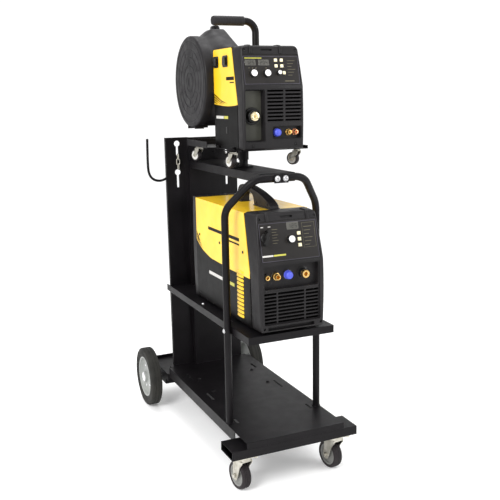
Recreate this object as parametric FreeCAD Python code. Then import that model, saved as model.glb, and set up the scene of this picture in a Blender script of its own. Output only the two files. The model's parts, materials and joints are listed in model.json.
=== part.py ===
import FreeCAD, Part
import math
import os

V = FreeCAD.Vector
X_AXIS = V(1, 0, 0)
Y_AXIS = V(0, 1, 0)
Z_AXIS = V(0, 0, 1)

# Trolley: every length is in millimetres, X to the right, Y to the back, Z up.
# Setbacks are measured backwards from the front face of the crossbeam.
rear_wheel_r = 125.0
rear_wheel_width = 48.0
rear_wheel_x = 237.5
axle_setback = 937.0
axle_r = 10.0
castor_wheel_r = 50.0
castor_wheel_width = 34.0
castor_x = 178.0
castor_setback = 50.0
castor_trail = 24.0
castor_rest_turn = 8.0
front_y = -(axle_setback + rear_wheel_r) / 2

running_gap = 0.05
sheet = 3.0
beam_half = 239.0
beam_depth = 100.0
beam_bottom = 140.0
beam_top = 172.0
deck_half = 186.0
deck_top = 194.0
deck_length = 832.0
deck_flange_end = 806.0
deck_skirt_bottom = 152.0
platform_top = 158.0
platform_end = 1047.0
column_half = 156.5
column_top = 1159.0
wing_setback = 829.0
rib_setback = 803.0
rib_half = 66.0
shelf_top = 545.0
shelf_half = 160.0
shelf_front = 28.0
shelf_end = 870.0
shelf_skirt = 26.0
tube_r = 12.7
tube_wall = 2.0
loop_setback = 176.0
loop_top_setback = 113.0
loop_top = 1053.0
arm_half = 65.0
arm_top = 1066.0
arm_height = 30.0
post_setback = 404.0

# Welding power source on the shelf.
source_bottom = 555.0
source_top = 941.0
source_half = 120.0
source_front = 20.0
source_break_z = 783.0
source_break_setback = 26.0
source_tilt = 14.0
source_rear = 630.0
cover_sheet = 2.0
wall = 4.0

# Wire feeder on the swivel post.
feeder_left = -63.0
feeder_right = 173.0
feeder_bottom = 1134.0
feeder_top = 1488.0
feeder_front = 260.0
feeder_break_z = 1350.0
feeder_tilt = 12.0
feeder_rear = 520.0
drum_setback = 690.0
drum_z = 1375.0
drum_r = 172.0
drum_left = -95.0
cover_join = -62.0
drum_right = 50.0
lid_hinge_x = -90.0
lid_hinge_z = 1200.5
tray_z = 1131.0
feeder_castor_bottom = 1070.0
feeder_partition = 62.0
drive_face = 48.0
roll_setback = 407.0
roll_z = 1236.0


def box(x0, x1, y0, y1, z0, z1):
    """A block between two corners; y values are setbacks."""
    return Part.makeBox(x1 - x0, y1 - y0, z1 - z0, V(x0, front_y + y0, z0))


def rod(radius, length, x, y, z, axis):
    """A cylinder that starts at a point and runs along an axis."""
    return Part.makeCylinder(radius, length, V(x, front_y + y, z), axis)


def ring(outer, inner, length, x, y, z, axis):
    return rod(outer, length, x, y, z, axis).cut(rod(inner, length, x, y, z, axis))


def union(shapes):
    return shapes[0].multiFuse(shapes[1:]).removeSplitter()


def prism_x(points, x0, x1):
    """Extrude a (setback, z) outline along X."""
    corners = [V(x0, front_y + y, z) for y, z in points]
    face = Part.Face(Part.makePolygon(corners + [corners[0]]))
    return face.extrude(V(x1 - x0, 0, 0))


def bulged_slab(half_low, half_mid, half_high, z_low, z_mid, z_high, y0, y1, centre=0.0):
    """A slab seen from the front: flat bottom and top, sides bowed outwards."""
    y = front_y + y0
    low_left = V(centre - half_low, y, z_low)
    low_right = V(centre + half_low, y, z_low)
    high_left = V(centre - half_high, y, z_high)
    high_right = V(centre + half_high, y, z_high)
    edges = [
        Part.makeLine(low_left, low_right),
        Part.Arc(low_right, V(centre + half_mid, y, z_mid), high_right).toShape(),
        Part.makeLine(high_right, high_left),
        Part.Arc(high_left, V(centre - half_mid, y, z_mid), low_left).toShape(),
    ]
    return Part.Face(Part.Wire(edges)).extrude(V(0, y1 - y0, 0))


def rounded_path(points, radius):
    """Straight runs joined by tangent arcs of one radius."""
    edges = []
    start = points[0]
    for before, corner, after in zip(points, points[1:], points[2:]):
        into = (before - corner).normalize()
        out = (after - corner).normalize()
        turn = math.pi - into.getAngle(out)
        setback = radius * math.tan(turn / 2)
        arc_start = corner + into * setback
        arc_end = corner + out * setback
        bisector = (into + out).normalize()
        middle = corner + bisector * (radius / math.cos(turn / 2) - radius)
        edges.append(Part.makeLine(start, arc_start))
        edges.append(Part.Arc(arc_start, middle, arc_end).toShape())
        start = arc_end
    edges.append(Part.makeLine(start, points[-1]))
    return Part.Wire(edges)


def bent_rod(points, bend_r, radius):
    path = rounded_path(points, bend_r)
    first = points[1] - points[0]
    section = Part.Wire(Part.makeCircle(radius, points[0], first))
    return path.makePipeShell([section], True, False)


def bent_tube(points, bend_r, radius, thickness):
    return bent_rod(points, bend_r, radius).cut(bent_rod(points, bend_r, radius - thickness))


def tilt_back(shape, setback, z, degrees):
    """Lean a piece drawn on an upright face onto the face tilted back about a line."""
    leaned = shape.copy()
    leaned.rotate(V(0, front_y + setback, z), X_AXIS, -degrees)
    return leaned


def on_source_face(shape):
    return tilt_back(shape, source_break_setback, source_break_z, source_tilt)


def on_feeder_face(shape):
    return tilt_back(shape, feeder_front, feeder_break_z, feeder_tilt)


# ---------------------------------------------------------------- trolley

def deck_plate():
    skirt_start = beam_depth + 3.0
    notch = 12.0
    top = box(-deck_half, deck_half, 0, deck_flange_end, deck_top - sheet, deck_top)
    tail = box(-deck_half + notch, deck_half - notch, deck_flange_end, deck_length,
               deck_top - sheet, deck_top)
    front = box(-deck_half, deck_half, 0, sheet, beam_top, deck_top - sheet)
    parts = [top, tail, front]
    for x in (-deck_half, deck_half - sheet):
        parts.append(box(x, x + sheet, skirt_start, deck_flange_end, deck_skirt_bottom,
                         deck_top - sheet))
    deck = union(parts)
    slot_half = 4.0
    for side in (-1, 1):
        for start, end in ((163, 205), (400, 474), (645, 697)):
            slot = box(side * 145 - slot_half, side * 145 + slot_half, start, end,
                       deck_top - sheet - 1, deck_top + 1)
            deck = deck.cut(slot)
    return deck


def bottle_platform():
    """Low tray behind the column that carries the gas bottle."""
    skirt = 30.0
    lip = 15.0
    start = wing_setback
    plate = box(-deck_half, deck_half, start, platform_end, platform_top - sheet, platform_top)
    riser = box(-deck_half + 12, deck_half - 12, start, start + sheet, platform_top,
                deck_top - sheet)
    back_lip = box(-deck_half, deck_half, platform_end - sheet, platform_end, platform_top,
                   platform_top + lip)
    parts = [plate, riser, back_lip]
    for x in (-deck_half, deck_half - sheet):
        parts.append(box(x, x + sheet, start, platform_end, platform_top - skirt,
                         platform_top - sheet))
    return parts


def front_crossbeam():
    tube = box(-beam_half, beam_half, 0, beam_depth, beam_bottom, beam_top)
    bore = box(-beam_half - 1, beam_half + 1, sheet, beam_depth - sheet,
               beam_bottom + sheet, beam_top - sheet)
    return tube.cut(bore)


def chassis_frame():
    """Two rails, the box that carries the rear axle and the bottle platform, as welded."""
    rail_in = 100.0
    rail_out = 135.0
    box_front = 870.0
    box_back = 1004.0
    box_bottom = 100.0
    under_platform = platform_top - sheet
    plate = 5.0
    pieces = []
    for side in (-1, 1):
        x0 = min(side * rail_in, side * rail_out)
        x1 = max(side * rail_in, side * rail_out)
        rail = box(x0, x1, sheet, wing_setback, beam_top, deck_top - sheet)
        rail = rail.cut(box(x0 + 2, x1 - 2, sheet - 1, wing_setback - 5, beam_top + 2,
                            deck_top - sheet - 2))
        arm = box(x0, x1, 690, box_front, 130, under_platform)
        arm = arm.cut(box(x0 + 2, x1 - 2, 680, box_front - 5, 132, under_platform - 2))
        block = box(x0, x1, 700, wing_setback, under_platform, beam_top)
        pieces += [rail, arm, block]
        cheek_x = side * (deck_half - sheet) - (plate if side > 0 else 0)
        pieces.append(box(cheek_x, cheek_x + plate, box_front, box_back, box_bottom,
                          under_platform))
    inner = deck_half - sheet
    pieces.append(box(-inner, inner, box_front, box_front + sheet, box_bottom, under_platform))
    pieces.append(box(-inner, inner, box_back - sheet, box_back, box_bottom, under_platform))
    pieces.append(box(-inner, inner, box_front, box_back, under_platform - sheet,
                      under_platform))
    frame = union(pieces + bottle_platform())
    hole = rod(axle_r + 0.1, 2 * beam_half, -beam_half, axle_setback, rear_wheel_r, X_AXIS)
    return frame.cut(hole)


def rear_axle():
    reach = rear_wheel_x + 20.5
    shaft = rod(axle_r, 2 * reach, -reach, axle_setback, rear_wheel_r, X_AXIS)
    collars = []
    inner_face = rear_wheel_x - rear_wheel_width / 2
    for side in (-1, 1):
        start = side * deck_half
        length = inner_face - deck_half - 0.3
        collars.append(rod(15.0, length, start, axle_setback, rear_wheel_r, V(side, 0, 0)))
    return union([shaft] + collars)


def tyre(side):
    """Solid rubber tyre: a flat tread with rounded shoulders, over the rim's seat."""
    half = rear_wheel_width / 2
    tread = 15.0
    seat_r = 86.0
    shoulder_r = 114.0
    centre = side * rear_wheel_x
    y = front_y + axle_setback
    z = rear_wheel_r

    def at(x, r):
        return V(centre + x, y, z + r)

    def shoulder(sign):
        return Part.Arc(at(sign * tread, rear_wheel_r), at(sign * 21.5, 121.5),
                        at(sign * half, shoulder_r)).toShape()

    edges = [
        Part.makeLine(at(-tread, rear_wheel_r), at(tread, rear_wheel_r)),
        shoulder(1),
        Part.makeLine(at(half, shoulder_r), at(20, seat_r)),
        Part.makeLine(at(20, seat_r), at(-20, seat_r)),
        Part.makeLine(at(-20, seat_r), at(-half, shoulder_r)),
        shoulder(-1),
    ]
    face = Part.Face(Part.Wire(Part.__sortEdges__(edges)))
    return face.revolve(V(centre, y, z), X_AXIS, 360)


def rim(side):
    """Pressed steel rim with its hub, and the domed cap that closes the hub."""
    seat_r = 86.0
    half = 20.0
    hub_r = 24.0
    centre = side * rear_wheel_x
    y = axle_setback
    z = rear_wheel_r
    band = ring(seat_r, seat_r - 4, 2 * half, centre - half, y, z, X_AXIS)
    disc = ring(seat_r - 2, hub_r - 2, 5, centre - 2.5, y, z, X_AXIS)
    hub = ring(hub_r, axle_r + running_gap, 2 * half + 6, centre - half - 3, y, z, X_AXIS)
    body = union([band, disc, hub])
    outward = V(side, 0, 0)
    cap_start = centre + side * (half + 3)
    cap = rod(20, 5, cap_start, y, z, outward)
    cap = cap.cut(rod(axle_r + 3, 2.5, cap_start, y, z, outward))
    return Part.makeCompound([body, cap])


def castor_plates():
    """Fixed half of each front castor: plate, upper race and king pin."""
    parts = []
    for side in (-1, 1):
        x = side * castor_x
        plate = box(x - 37, x + 37, castor_setback - 47, castor_setback + 47,
                    beam_bottom - 4, beam_bottom)
        race = rod(29, 8, x, castor_setback, beam_bottom - 12, Z_AXIS)
        pin = rod(6, 22, x, castor_setback, beam_bottom - 32, Z_AXIS)
        parts.append(union([plate, race, pin]))
    return Part.makeCompound(parts)


def swung(shape, side):
    """Turn a castor piece about its king pin to where it trails at rest."""
    turned = shape.copy()
    turned.rotate(V(side * castor_x, front_y + castor_setback, 0), Z_AXIS, castor_rest_turn)
    return turned


def castor_fork(side):
    """Swivelling fork: crown bored for the king pin, two legs and the wheel bolt."""
    x = side * castor_x
    crown_top = beam_bottom - 12.3
    crown = rod(29, 12, x, castor_setback, crown_top - 12, Z_AXIS)
    bridge = box(x - 24, x + 24, castor_setback - 24, castor_setback + 30,
                 crown_top - 16, crown_top - 8)
    legs = []
    leg_in = castor_wheel_width / 2 + 1.5
    wheel_y = castor_setback + castor_trail
    for sign in (-1, 1):
        x0 = min(x + sign * leg_in, x + sign * (leg_in + 3))
        outline = [(castor_setback - 24, crown_top - 8), (castor_setback - 20, crown_top - 30),
                   (wheel_y - 14, castor_wheel_r - 10), (wheel_y, castor_wheel_r - 16),
                   (wheel_y + 14, castor_wheel_r - 10), (castor_setback + 30, crown_top - 8)]
        legs.append(prism_x(outline, x0, x0 + 3))
    body = union([crown, bridge] + legs)
    body = body.cut(rod(6 + running_gap, 30, x, castor_setback, crown_top - 20, Z_AXIS))
    bolt_half = leg_in + 3
    bolt = rod(5, 2 * bolt_half, x - bolt_half, wheel_y, castor_wheel_r, X_AXIS)
    for sign in (-1, 1):
        bolt = bolt.fuse(rod(8, 4, x + sign * bolt_half, wheel_y, castor_wheel_r,
                             V(sign, 0, 0)))
    return swung(union([body, bolt]), side)


def castor_wheel(side):
    x = side * castor_x
    y = castor_setback + castor_trail
    z = castor_wheel_r
    half = castor_wheel_width / 2
    tread = ring(castor_wheel_r, 38, castor_wheel_width, x - half, y, z, X_AXIS)
    hub = ring(38, 5 + running_gap, castor_wheel_width - 4, x - half + 2, y, z, X_AXIS)
    for sign in (-1, 1):
        dish = ring(32, 12, 6, x + sign * (half - 8), y, z, V(sign, 0, 0))
        hub = hub.cut(dish)
    return swung(Part.makeCompound([tread, hub]), side)


def column_panel():
    """Hat-section upright: a forward rib between two wings with keyhole slots."""
    lip = 15.0
    foot = deck_top
    rib_back = wing_setback + sheet
    parts = [box(-rib_half, rib_half, rib_setback, rib_setback + sheet, foot, column_top)]
    for side in (-1, 1):
        wing = sorted((side * (rib_half - sheet), side * column_half))
        cheek = sorted((side * (rib_half - sheet), side * rib_half))
        edge = sorted((side * (column_half - sheet), side * column_half))
        parts.append(box(wing[0], wing[1], wing_setback, rib_back, foot, column_top))
        parts.append(box(cheek[0], cheek[1], rib_setback, rib_back, foot, column_top))
        parts.append(box(edge[0], edge[1], wing_setback, wing_setback + lip, foot, column_top))
    column = union(parts)
    slot_half = 4.5
    for side in (-1, 1):
        x = side * 108.0
        for top, bottom in ((1134, 1088), (1018, 960)):
            eye = rod(12, 10, x, wing_setback - 3, top, Y_AXIS)
            slot = box(x - slot_half, x + slot_half, wing_setback - 3, wing_setback + 7,
                       bottom, top)
            toe = rod(slot_half, 10, x, wing_setback - 3, bottom, Y_AXIS)
            column = column.cut(eye).cut(slot).cut(toe)
    return column


def power_source_shelf():
    """Folded tray that meets the column, with an ear along each side of it."""
    under = shelf_top - shelf_skirt
    plate = box(-shelf_half, shelf_half, shelf_front, rib_setback, shelf_top - sheet, shelf_top)
    front = box(-shelf_half, shelf_half, shelf_front, shelf_front + sheet, under,
                shelf_top - sheet)
    parts = [plate, front]
    for side in (-1, 1):
        flange = sorted((side * (shelf_half - sheet), side * shelf_half))
        wing = sorted((side * rib_half, side * shelf_half))
        parts.append(box(flange[0], flange[1], shelf_front, shelf_end, under,
                         shelf_top))
        parts.append(box(wing[0], wing[1], rib_setback, wing_setback, shelf_top - sheet,
                         shelf_top))
    return union(parts)


def front_loop_tube():
    """One tube: two legs on the deck, leaning forward and in to the arm's front end."""
    leg_x = shelf_half + tube_r + 0.3
    corner_x = 92.0
    shoulder_z = 948.0
    points = [
        V(-leg_x, front_y + loop_setback, deck_top),
        V(-leg_x, front_y + loop_setback, shoulder_z),
        V(-corner_x, front_y + loop_top_setback, loop_top),
        V(corner_x, front_y + loop_top_setback, loop_top),
        V(leg_x, front_y + loop_setback, shoulder_z),
        V(leg_x, front_y + loop_setback, deck_top),
    ]
    return bent_tube(points, 70.0, tube_r, tube_wall)


def top_arm():
    """Inverted channel from the column to the loop, and the clamp plate at its front."""
    front = loop_top_setback + tube_r + 0.3
    bottom = arm_top - arm_height
    channel = box(-arm_half, arm_half, front, rib_setback, bottom, arm_top)
    hollow = box(-arm_half + sheet, arm_half - sheet, front + sheet, rib_setback - sheet,
                 bottom - 1, arm_top - sheet)
    channel = channel.cut(hollow)
    plate_back = loop_top_setback - tube_r - 0.3
    clamp = box(-26, 26, plate_back - 4, plate_back, bottom, arm_top)
    return Part.makeCompound([channel, clamp])


def pivot_post():
    """Flanged post on the arm: a thick foot below and the swivel pin above."""
    flange = rod(35, 5, 0, post_setback, arm_top, Z_AXIS)
    foot = rod(16, 26, 0, post_setback, arm_top, Z_AXIS)
    pin = rod(11, 26 + 58, 0, post_setback, arm_top, Z_AXIS)
    return union([flange, foot, pin])


def cable_hook():
    y = front_y + wing_setback + 8
    points = [V(-column_half + 6, y, 1006), V(-186, y, 982), V(-226, y, 1004),
              V(-229, y, 1158)]
    hook = bent_rod(points, 20.0, 5.0)
    return hook.cut(box(-column_half, 0, wing_setback - 20, wing_setback + 40, 950, 1050))


def chain_link(centre, direction, normal, wire_r=2.0, half_length=12.0, half_width=6.5):
    """One oval link: two straight wires closed by two half rings."""
    side = direction.cross(normal)
    straight = half_length - half_width
    ends = [centre + direction * straight, centre - direction * straight]
    corners = [ends[0] + side * half_width, ends[1] + side * half_width,
               ends[1] - side * half_width, ends[0] - side * half_width]
    tips = [ends[0] + direction * half_width, ends[1] - direction * half_width]
    edges = [
        Part.makeLine(corners[0], corners[1]),
        Part.Arc(corners[1], tips[1], corners[2]).toShape(),
        Part.makeLine(corners[2], corners[3]),
        Part.Arc(corners[3], tips[0], corners[0]).toShape(),
    ]
    path = Part.Wire(edges)
    section = Part.Wire(Part.makeCircle(wire_r, corners[0], direction))
    return path.makePipeShell([section], True, False)


def bottle_chain():
    """Chain for the gas bottle: a short tail in front, a slack run behind the column."""
    pitch = 19.6
    links = []
    tail_y = front_y + wing_setback - 9
    for number in range(3):
        normal = Y_AXIS if number % 2 else X_AXIS
        centre = V(-108, tail_y, 1081 - pitch * number)
        links.append(chain_link(centre, V(0, 0, -1), normal))
    run_y = front_y + wing_setback + sheet + 9
    span = 108.0
    sag_z = 1010.0
    rise = 76.0
    count = 16
    stations = [V(-span + 2 * span * i / 400, run_y, 0) for i in range(401)]
    for point in stations:
        point.z = sag_z + rise * (point.x / span) ** 2
    length = 0.0
    next_stop = pitch / 2
    placed = 0
    for before, after in zip(stations, stations[1:]):
        length += (after - before).Length
        if length >= next_stop and placed < count:
            direction = (after - before).normalize()
            flat = Y_AXIS if placed % 2 else direction.cross(Y_AXIS)
            links.append(chain_link(after, direction, flat))
            next_stop += pitch
            placed += 1
    return Part.makeCompound(links)


def dome_bolt(x, y, z, axis, head_r=8.0, head_height=5.0):
    """Low domed bolt head seated on a face."""
    base = V(x, front_y + y, z)
    disc = Part.makeCylinder(head_r, head_height * 0.4, base, axis)
    cone = Part.makeCone(head_r, head_r * 0.5, head_height * 0.6,
                         base + V(axis) * (head_height * 0.4), axis)
    return disc.fuse(cone).removeSplitter()


def trolley_fasteners():
    bolts = []
    for side in (-1, 1):
        bolts.append(dome_bolt(side * 117, 627, deck_top, Z_AXIS))
        bolts.append(dome_bolt(side * 117, 473, deck_top, Z_AXIS))
        bolts.append(dome_bolt(side * 139, 495, shelf_top, Z_AXIS))
        bolts.append(dome_bolt(side * 139, 232, shelf_top, Z_AXIS))
        leg_outer = shelf_half + 2 * tube_r + 0.3
        bolts.append(dome_bolt(side * leg_outer, loop_setback, shelf_top - 13,
                               V(side, 0, 0)))
        plate_front = loop_top_setback - tube_r - 4.3
        bolts.append(dome_bolt(side * 15, plate_front, arm_top - 15, V(0, -1, 0)))
        bolts.append(dome_bolt(side * 42, rib_setback, 1100, V(0, -1, 0)))
        bolts.append(dome_bolt(side * 42, rib_setback, 600, V(0, -1, 0)))
    return Part.makeCompound(bolts)


# ----------------------------------------------------------- power source

def source_outline(inset, back_bottom, back_mid, back_top):
    """Side outline of the front bezel, shrunk by an inset for its hollow."""
    lean = math.tan(math.radians(source_tilt))
    low = source_bottom + inset
    high = source_top + 3 - inset
    top_y = source_break_setback + (high - 14 - source_break_z) * lean + inset
    return [(source_front + inset, low), (source_break_setback + inset, source_break_z),
            (top_y, high - 14), (top_y + 12, high), (back_top, high), (back_mid, 740),
            (back_bottom, low)]


def source_front_bezel():
    outline = prism_x(source_outline(0, 86, 98, 140), -130, 130)
    shell = bulged_slab(115, 121, 109, source_bottom, 735, source_top + 3, 0, 160)
    hollow_side = prism_x(source_outline(wall, 170, 170, 170), -130, 130)
    hollow = bulged_slab(111, 117, 105, source_bottom + wall, 735, source_top + 3 - wall,
                         0, 170)
    bezel = outline.common(shell).cut(hollow_side.common(hollow))
    tub = box(-104, 104, source_front + 1, 50, 694, 777)
    bezel = bezel.fuse(tub).removeSplitter()
    bezel = bezel.cut(box(-101, 101, source_front - 5, 46, 697, 774))
    for row in range(9):
        z = 682 - 12 * row
        for x0, x1 in ((-104, -58), (-51, 47), (54, 104)):
            bezel = bezel.cut(box(x0, x1, 10, 35, z - 3, z + 3))
    bezel = bezel.cut(box(-86, 82, 10, 35, 560, 576))
    pocket = on_source_face(box(-108, 108, 20, source_break_setback + 2, 789, 922))
    bezel = bezel.cut(pocket)
    for x, z, reach in ((-88, 86.6, 7), (5, 75, 5)):
        hole = on_source_face(rod(reach, 20, x, 20, source_break_z + z, Y_AXIS))
        bezel = bezel.cut(hole)
    for s in (54, 73.5, 93):
        window = box(31, 43, 20, 40, source_break_z + s - 6, source_break_z + s + 6)
        bezel = bezel.cut(on_source_face(window))
    for x in (-89, -53, -7, 50):
        bezel = bezel.cut(rod(8, 20, x, 40, 738, Y_AXIS))
    return bezel


def source_control_panel():
    face = source_break_setback
    plate = box(-107.5, 107.5, face, face + 2, 789.5, 921.5)
    for x, s, reach in ((-88, 86.6, 7), (5, 75, 5)):
        plate = plate.cut(rod(reach, 20, x, 20, source_break_z + s, Y_AXIS))
    for s in (54, 73.5, 93):
        z = source_break_z + s
        plate = plate.cut(box(31, 43, 20, 40, z - 6, z + 6))
    plate = plate.cut(box(-4, 38, face - 1, face + 1, source_break_z + 109,
                          source_break_z + 131))
    return on_source_face(plate)


def power_switch():
    """Rotary main switch: round skirt, raised grip bar and its shaft."""
    z = source_break_z + 86.6
    face = source_break_setback
    skirt = rod(15, 6, -88, face - 0.5, z, V(0, -1, 0))
    grip = box(-93, -83, face - 24, face - 6, z - 26, z + 26)
    grip = grip.common(rod(26, 30, -88, face - 30, z, Y_AXIS))
    shaft = rod(6.95, 12, -88, face - 1, z, Y_AXIS)
    return on_source_face(union([skirt, grip, shaft]))


def turned_knob(x, y, z, radius, height, shaft_r, shaft_length):
    """Control knob that faces -Y: skirt, waist, cap and the shaft behind it."""
    skirt = rod(radius, height * 0.25, x, y - 0.5, z, V(0, -1, 0))
    body = rod(radius * 0.82, height, x, y - 0.5, z, V(0, -1, 0))
    shaft = rod(shaft_r, shaft_length, x, y - 1, z, Y_AXIS)
    return union([skirt, body, shaft])


def setting_knob():
    z = source_break_z + 75
    return on_source_face(turned_knob(5, source_break_setback, z, 13, 14, 4.95, 12))


def push_key(x, y, z, half, proud, deep):
    """Square key with a wider flange behind the panel that keeps it in."""
    cap = box(x - half, x + half, y - proud, y + deep, z - half, z + half)
    flange = box(x - half - 2, x + half + 2, y + deep, y + deep + 1.5, z - half - 2,
                 z + half + 2)
    return union([cap, flange])


def source_key(s):
    return on_source_face(push_key(37, source_break_setback, source_break_z + s, 5.6, 2.5, 10))


def source_cover():
    """Folded sheet cover: top and two sides, with a louvre bank in each side."""
    back = source_rear - 34
    outer = prism_x([(86, 557), (98, 740), (140, source_top), (back, source_top), (back, 557)],
                    -source_half, source_half)
    inner = prism_x([(60, 540), (60, source_top - cover_sheet), (660, source_top - cover_sheet),
                     (660, 540)], -source_half + cover_sheet, source_half - cover_sheet)
    nose = prism_x([(50, 540), (50, 960), (142, 960), (142, source_top), (100, 740), (88, 540)],
                   -130, 130)
    cover = outer.cut(inner).cut(nose)
    for row in range(12):
        z = 577 + 14 * row
        cover = cover.cut(box(-130, 130, 152, 206, z, z + 7))
    return cover


def source_base_pan():
    """Bottom pan with low sides, and four rubber feet under it."""
    half = source_half - cover_sheet - 0.5
    pan = box(-half, half, 104, source_rear - 36, source_bottom, 575)
    pan = pan.cut(box(-half + 2, half - 2, 106, source_rear - 38, source_bottom + 2, 576))
    feet = []
    for x in (-90, 90):
        for y in (150, 540):
            feet.append(rod(12, source_bottom - shelf_top, x, y, shelf_top, Z_AXIS))
    return Part.makeCompound([pan] + feet)


def source_rear_panel():
    """Moulded back with a fan grille, the fan motor, the mains gland and a gas inlet."""
    start = source_rear - 34
    shell = bulged_slab(118, 121, 118, source_bottom, 750, source_top + 2, start, source_rear)
    hollow = bulged_slab(114, 117, 114, source_bottom + 4, 750, source_top - 2, start - 1,
                         source_rear - 4)
    panel = shell.cut(hollow)
    fan_z = 730.0
    for row in range(9):
        z = fan_z - 64 + 16 * row
        reach = math.sqrt(72.0 ** 2 - (z - fan_z) ** 2)
        for sign in (-1, 1):
            x0, x1 = sorted((sign * 6, sign * reach))
            panel = panel.cut(box(x0, x1, source_rear - 10, source_rear + 10, z - 5, z + 5))
    motor = ring(24, 4 + running_gap, 24, 0, source_rear - 28, fan_z, Y_AXIS)
    gland = rod(16, 18, -70, source_rear - 6, 610, Y_AXIS)
    gas = rod(8, 18, 60, source_rear - 6, 610, Y_AXIS)
    panel = union([panel, motor, gland, gas])
    panel = panel.cut(rod(9, 30, -70, source_rear - 12, 610, Y_AXIS))
    return panel.cut(rod(3.5, 30, 60, source_rear - 12, 610, Y_AXIS))


def cooling_fan():
    """Seven-blade rotor and its shaft, which runs in the motor."""
    y = source_rear - 52
    z = 730.0
    hub = rod(22, 20, 0, y, z, Y_AXIS)
    shaft = rod(4, 18 + 20, 0, y + 5, z, Y_AXIS)
    blades = []
    for number in range(7):
        blade = box(18, 68, y + 8, y + 11, z - 14, z + 14)
        blade.rotate(V(0, front_y + y + 9.5, z), X_AXIS, 28)
        blade.rotate(V(0, front_y + y, z), Y_AXIS, 360.0 * number / 7)
        blades.append(blade)
    return union([hub, shaft] + blades)


def source_carry_handle():
    """Arched carry handle moulded in one piece, on the cover's top."""
    y0, y1 = 150.0, 432.0
    base = source_top
    outer = [(y0, base), (y0 + 10, base + 30), (y0 + 46, base + 58), (y0 + 110, base + 69),
             (y1 - 90, base + 69), (y1 - 34, base + 56), (y1 - 6, base + 26), (y1, base)]
    inner = [(y0 + 42, base), (y0 + 48, base + 18), (y0 + 76, base + 36),
             (y0 + 118, base + 42), (y1 - 98, base + 42), (y1 - 70, base + 30),
             (y1 - 62, base)]
    arch = prism_x(outer, -17, 17).cut(prism_x(inner, -18, 18))
    return arch


def output_sockets():
    """Control, gas and two output sockets with their nuts, on the recess floor."""
    floor = 46.0
    parts = []
    for x, body_r, bore_r, length in ((-89, 10, 4.5, 16), (-53, 13, 6.5, 18),
                                      (-7, 15, 6.5, 20), (50, 18, 6.5, 18)):
        body = ring(body_r, bore_r, length, x, floor, 738, V(0, -1, 0))
        stem = rod(7.8, 14, x, floor, 738, Y_AXIS)
        parts.append(union([body, stem]))
    return Part.makeCompound(parts)


def inverter_core():
    """Heat sinks, main transformer and choke on the pan."""
    floor = source_bottom + 2
    sinks = []
    for side in (-1, 1):
        x0 = side * 90 if side < 0 else 40
        base = box(x0, x0 + 50, 230, 480, floor, floor + 12)
        fins = [box(x0 + 2 + 8 * n, x0 + 5 + 8 * n, 230, 480, floor + 12, floor + 84)
                for n in range(6)]
        sinks.append(union([base] + fins))
    core = box(-36, 36, 240, 340, floor, floor + 90)
    windings = rod(48, 60, 0, 290, floor + 90, Z_AXIS)
    choke = ring(38, 16, 40, 0, 430, floor, Z_AXIS)
    return Part.makeCompound(sinks + [union([core, windings]), choke])


# ----------------------------------------------------------------- feeder

def feeder_tray():
    """Tray under the feeder with its castor studs, and the socket on the post."""
    left, right = -98.0, 196.0
    back = 734.0
    step = 518.0
    plate = box(feeder_left, right, 275, step, tray_z, tray_z + sheet)
    ear = box(left, feeder_left, 304, 356, tray_z, tray_z + sheet)
    tail = box(left, right, step, back, tray_z, tray_z + sheet)
    flanges = [box(left, left + sheet, step, back, tray_z, tray_z + 24),
               box(right - sheet, right, 275, back, tray_z, tray_z + 12),
               box(left, right, back - sheet, back, tray_z, tray_z + 24)]
    socket = rod(19, tray_z - (arm_top + 26.3), 0, post_setback, arm_top + 26.3, Z_AXIS)
    boss = rod(19, 22, 0, post_setback, tray_z, Z_AXIS)
    tray = union([plate, ear, tail] + flanges + [socket, boss])
    bore = rod(11 + running_gap, 90, 0, post_setback, arm_top + 20, Z_AXIS)
    tray = tray.cut(bore)
    studs = []
    for x, y, _ in feeder_castor_places():
        race = rod(12, 3, x, y, tray_z - 3, Z_AXIS)
        stud = rod(4, 16, x, y, tray_z - 16, Z_AXIS)
        studs.append(union([race, stud]))
    return union([tray] + studs)


def feeder_castor_places():
    """X, setback and turn at rest, in degrees, of each small castor."""
    return [(-72, 330, 10), (180, 330, 30), (-60, 700, 20), (110, 700, 5)]


def feeder_castor(x, y, turn):
    """Small castor: bored crown, two pressed legs, axle and one rubber wheel."""
    top = tray_z - 3.3
    wheel_r = 23.0
    trail = 17.0
    wheel_y = y + trail
    z = feeder_castor_bottom + wheel_r
    leg_in = 10.5
    crown = ring(12.5, 4 + running_gap, 5, x, y, top - 5, Z_AXIS)
    bridge = box(x - leg_in - 2, x + leg_in + 2, y - 10, y + 12, top - 8, top - 5)
    bridge = bridge.cut(rod(6, 10, x, y, top - 12, Z_AXIS))
    legs = []
    for sign in (-1, 1):
        x0 = min(x + sign * leg_in, x + sign * (leg_in + 2))
        legs.append(prism_x([(y - 10, top - 5), (y - 8, top - 16), (wheel_y - 7, z - 2),
                             (wheel_y, z - 7), (wheel_y + 7, z - 2), (y + 12, top - 5)],
                            x0, x0 + 2))
    axle = rod(3, 2 * leg_in + 8, x - leg_in - 4, wheel_y, z, X_AXIS)
    body = union([crown, bridge] + legs + [axle])
    wheel = ring(wheel_r, 3, 18, x - 9, wheel_y, z, X_AXIS)
    for sign in (-1, 1):
        wheel = wheel.cut(ring(17, 7, 3, x + sign * 6, wheel_y, z, V(sign, 0, 0)))
    castor = Part.makeCompound([body, wheel])
    castor.rotate(V(x, front_y + y, 0), Z_AXIS, turn)
    return castor


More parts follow.
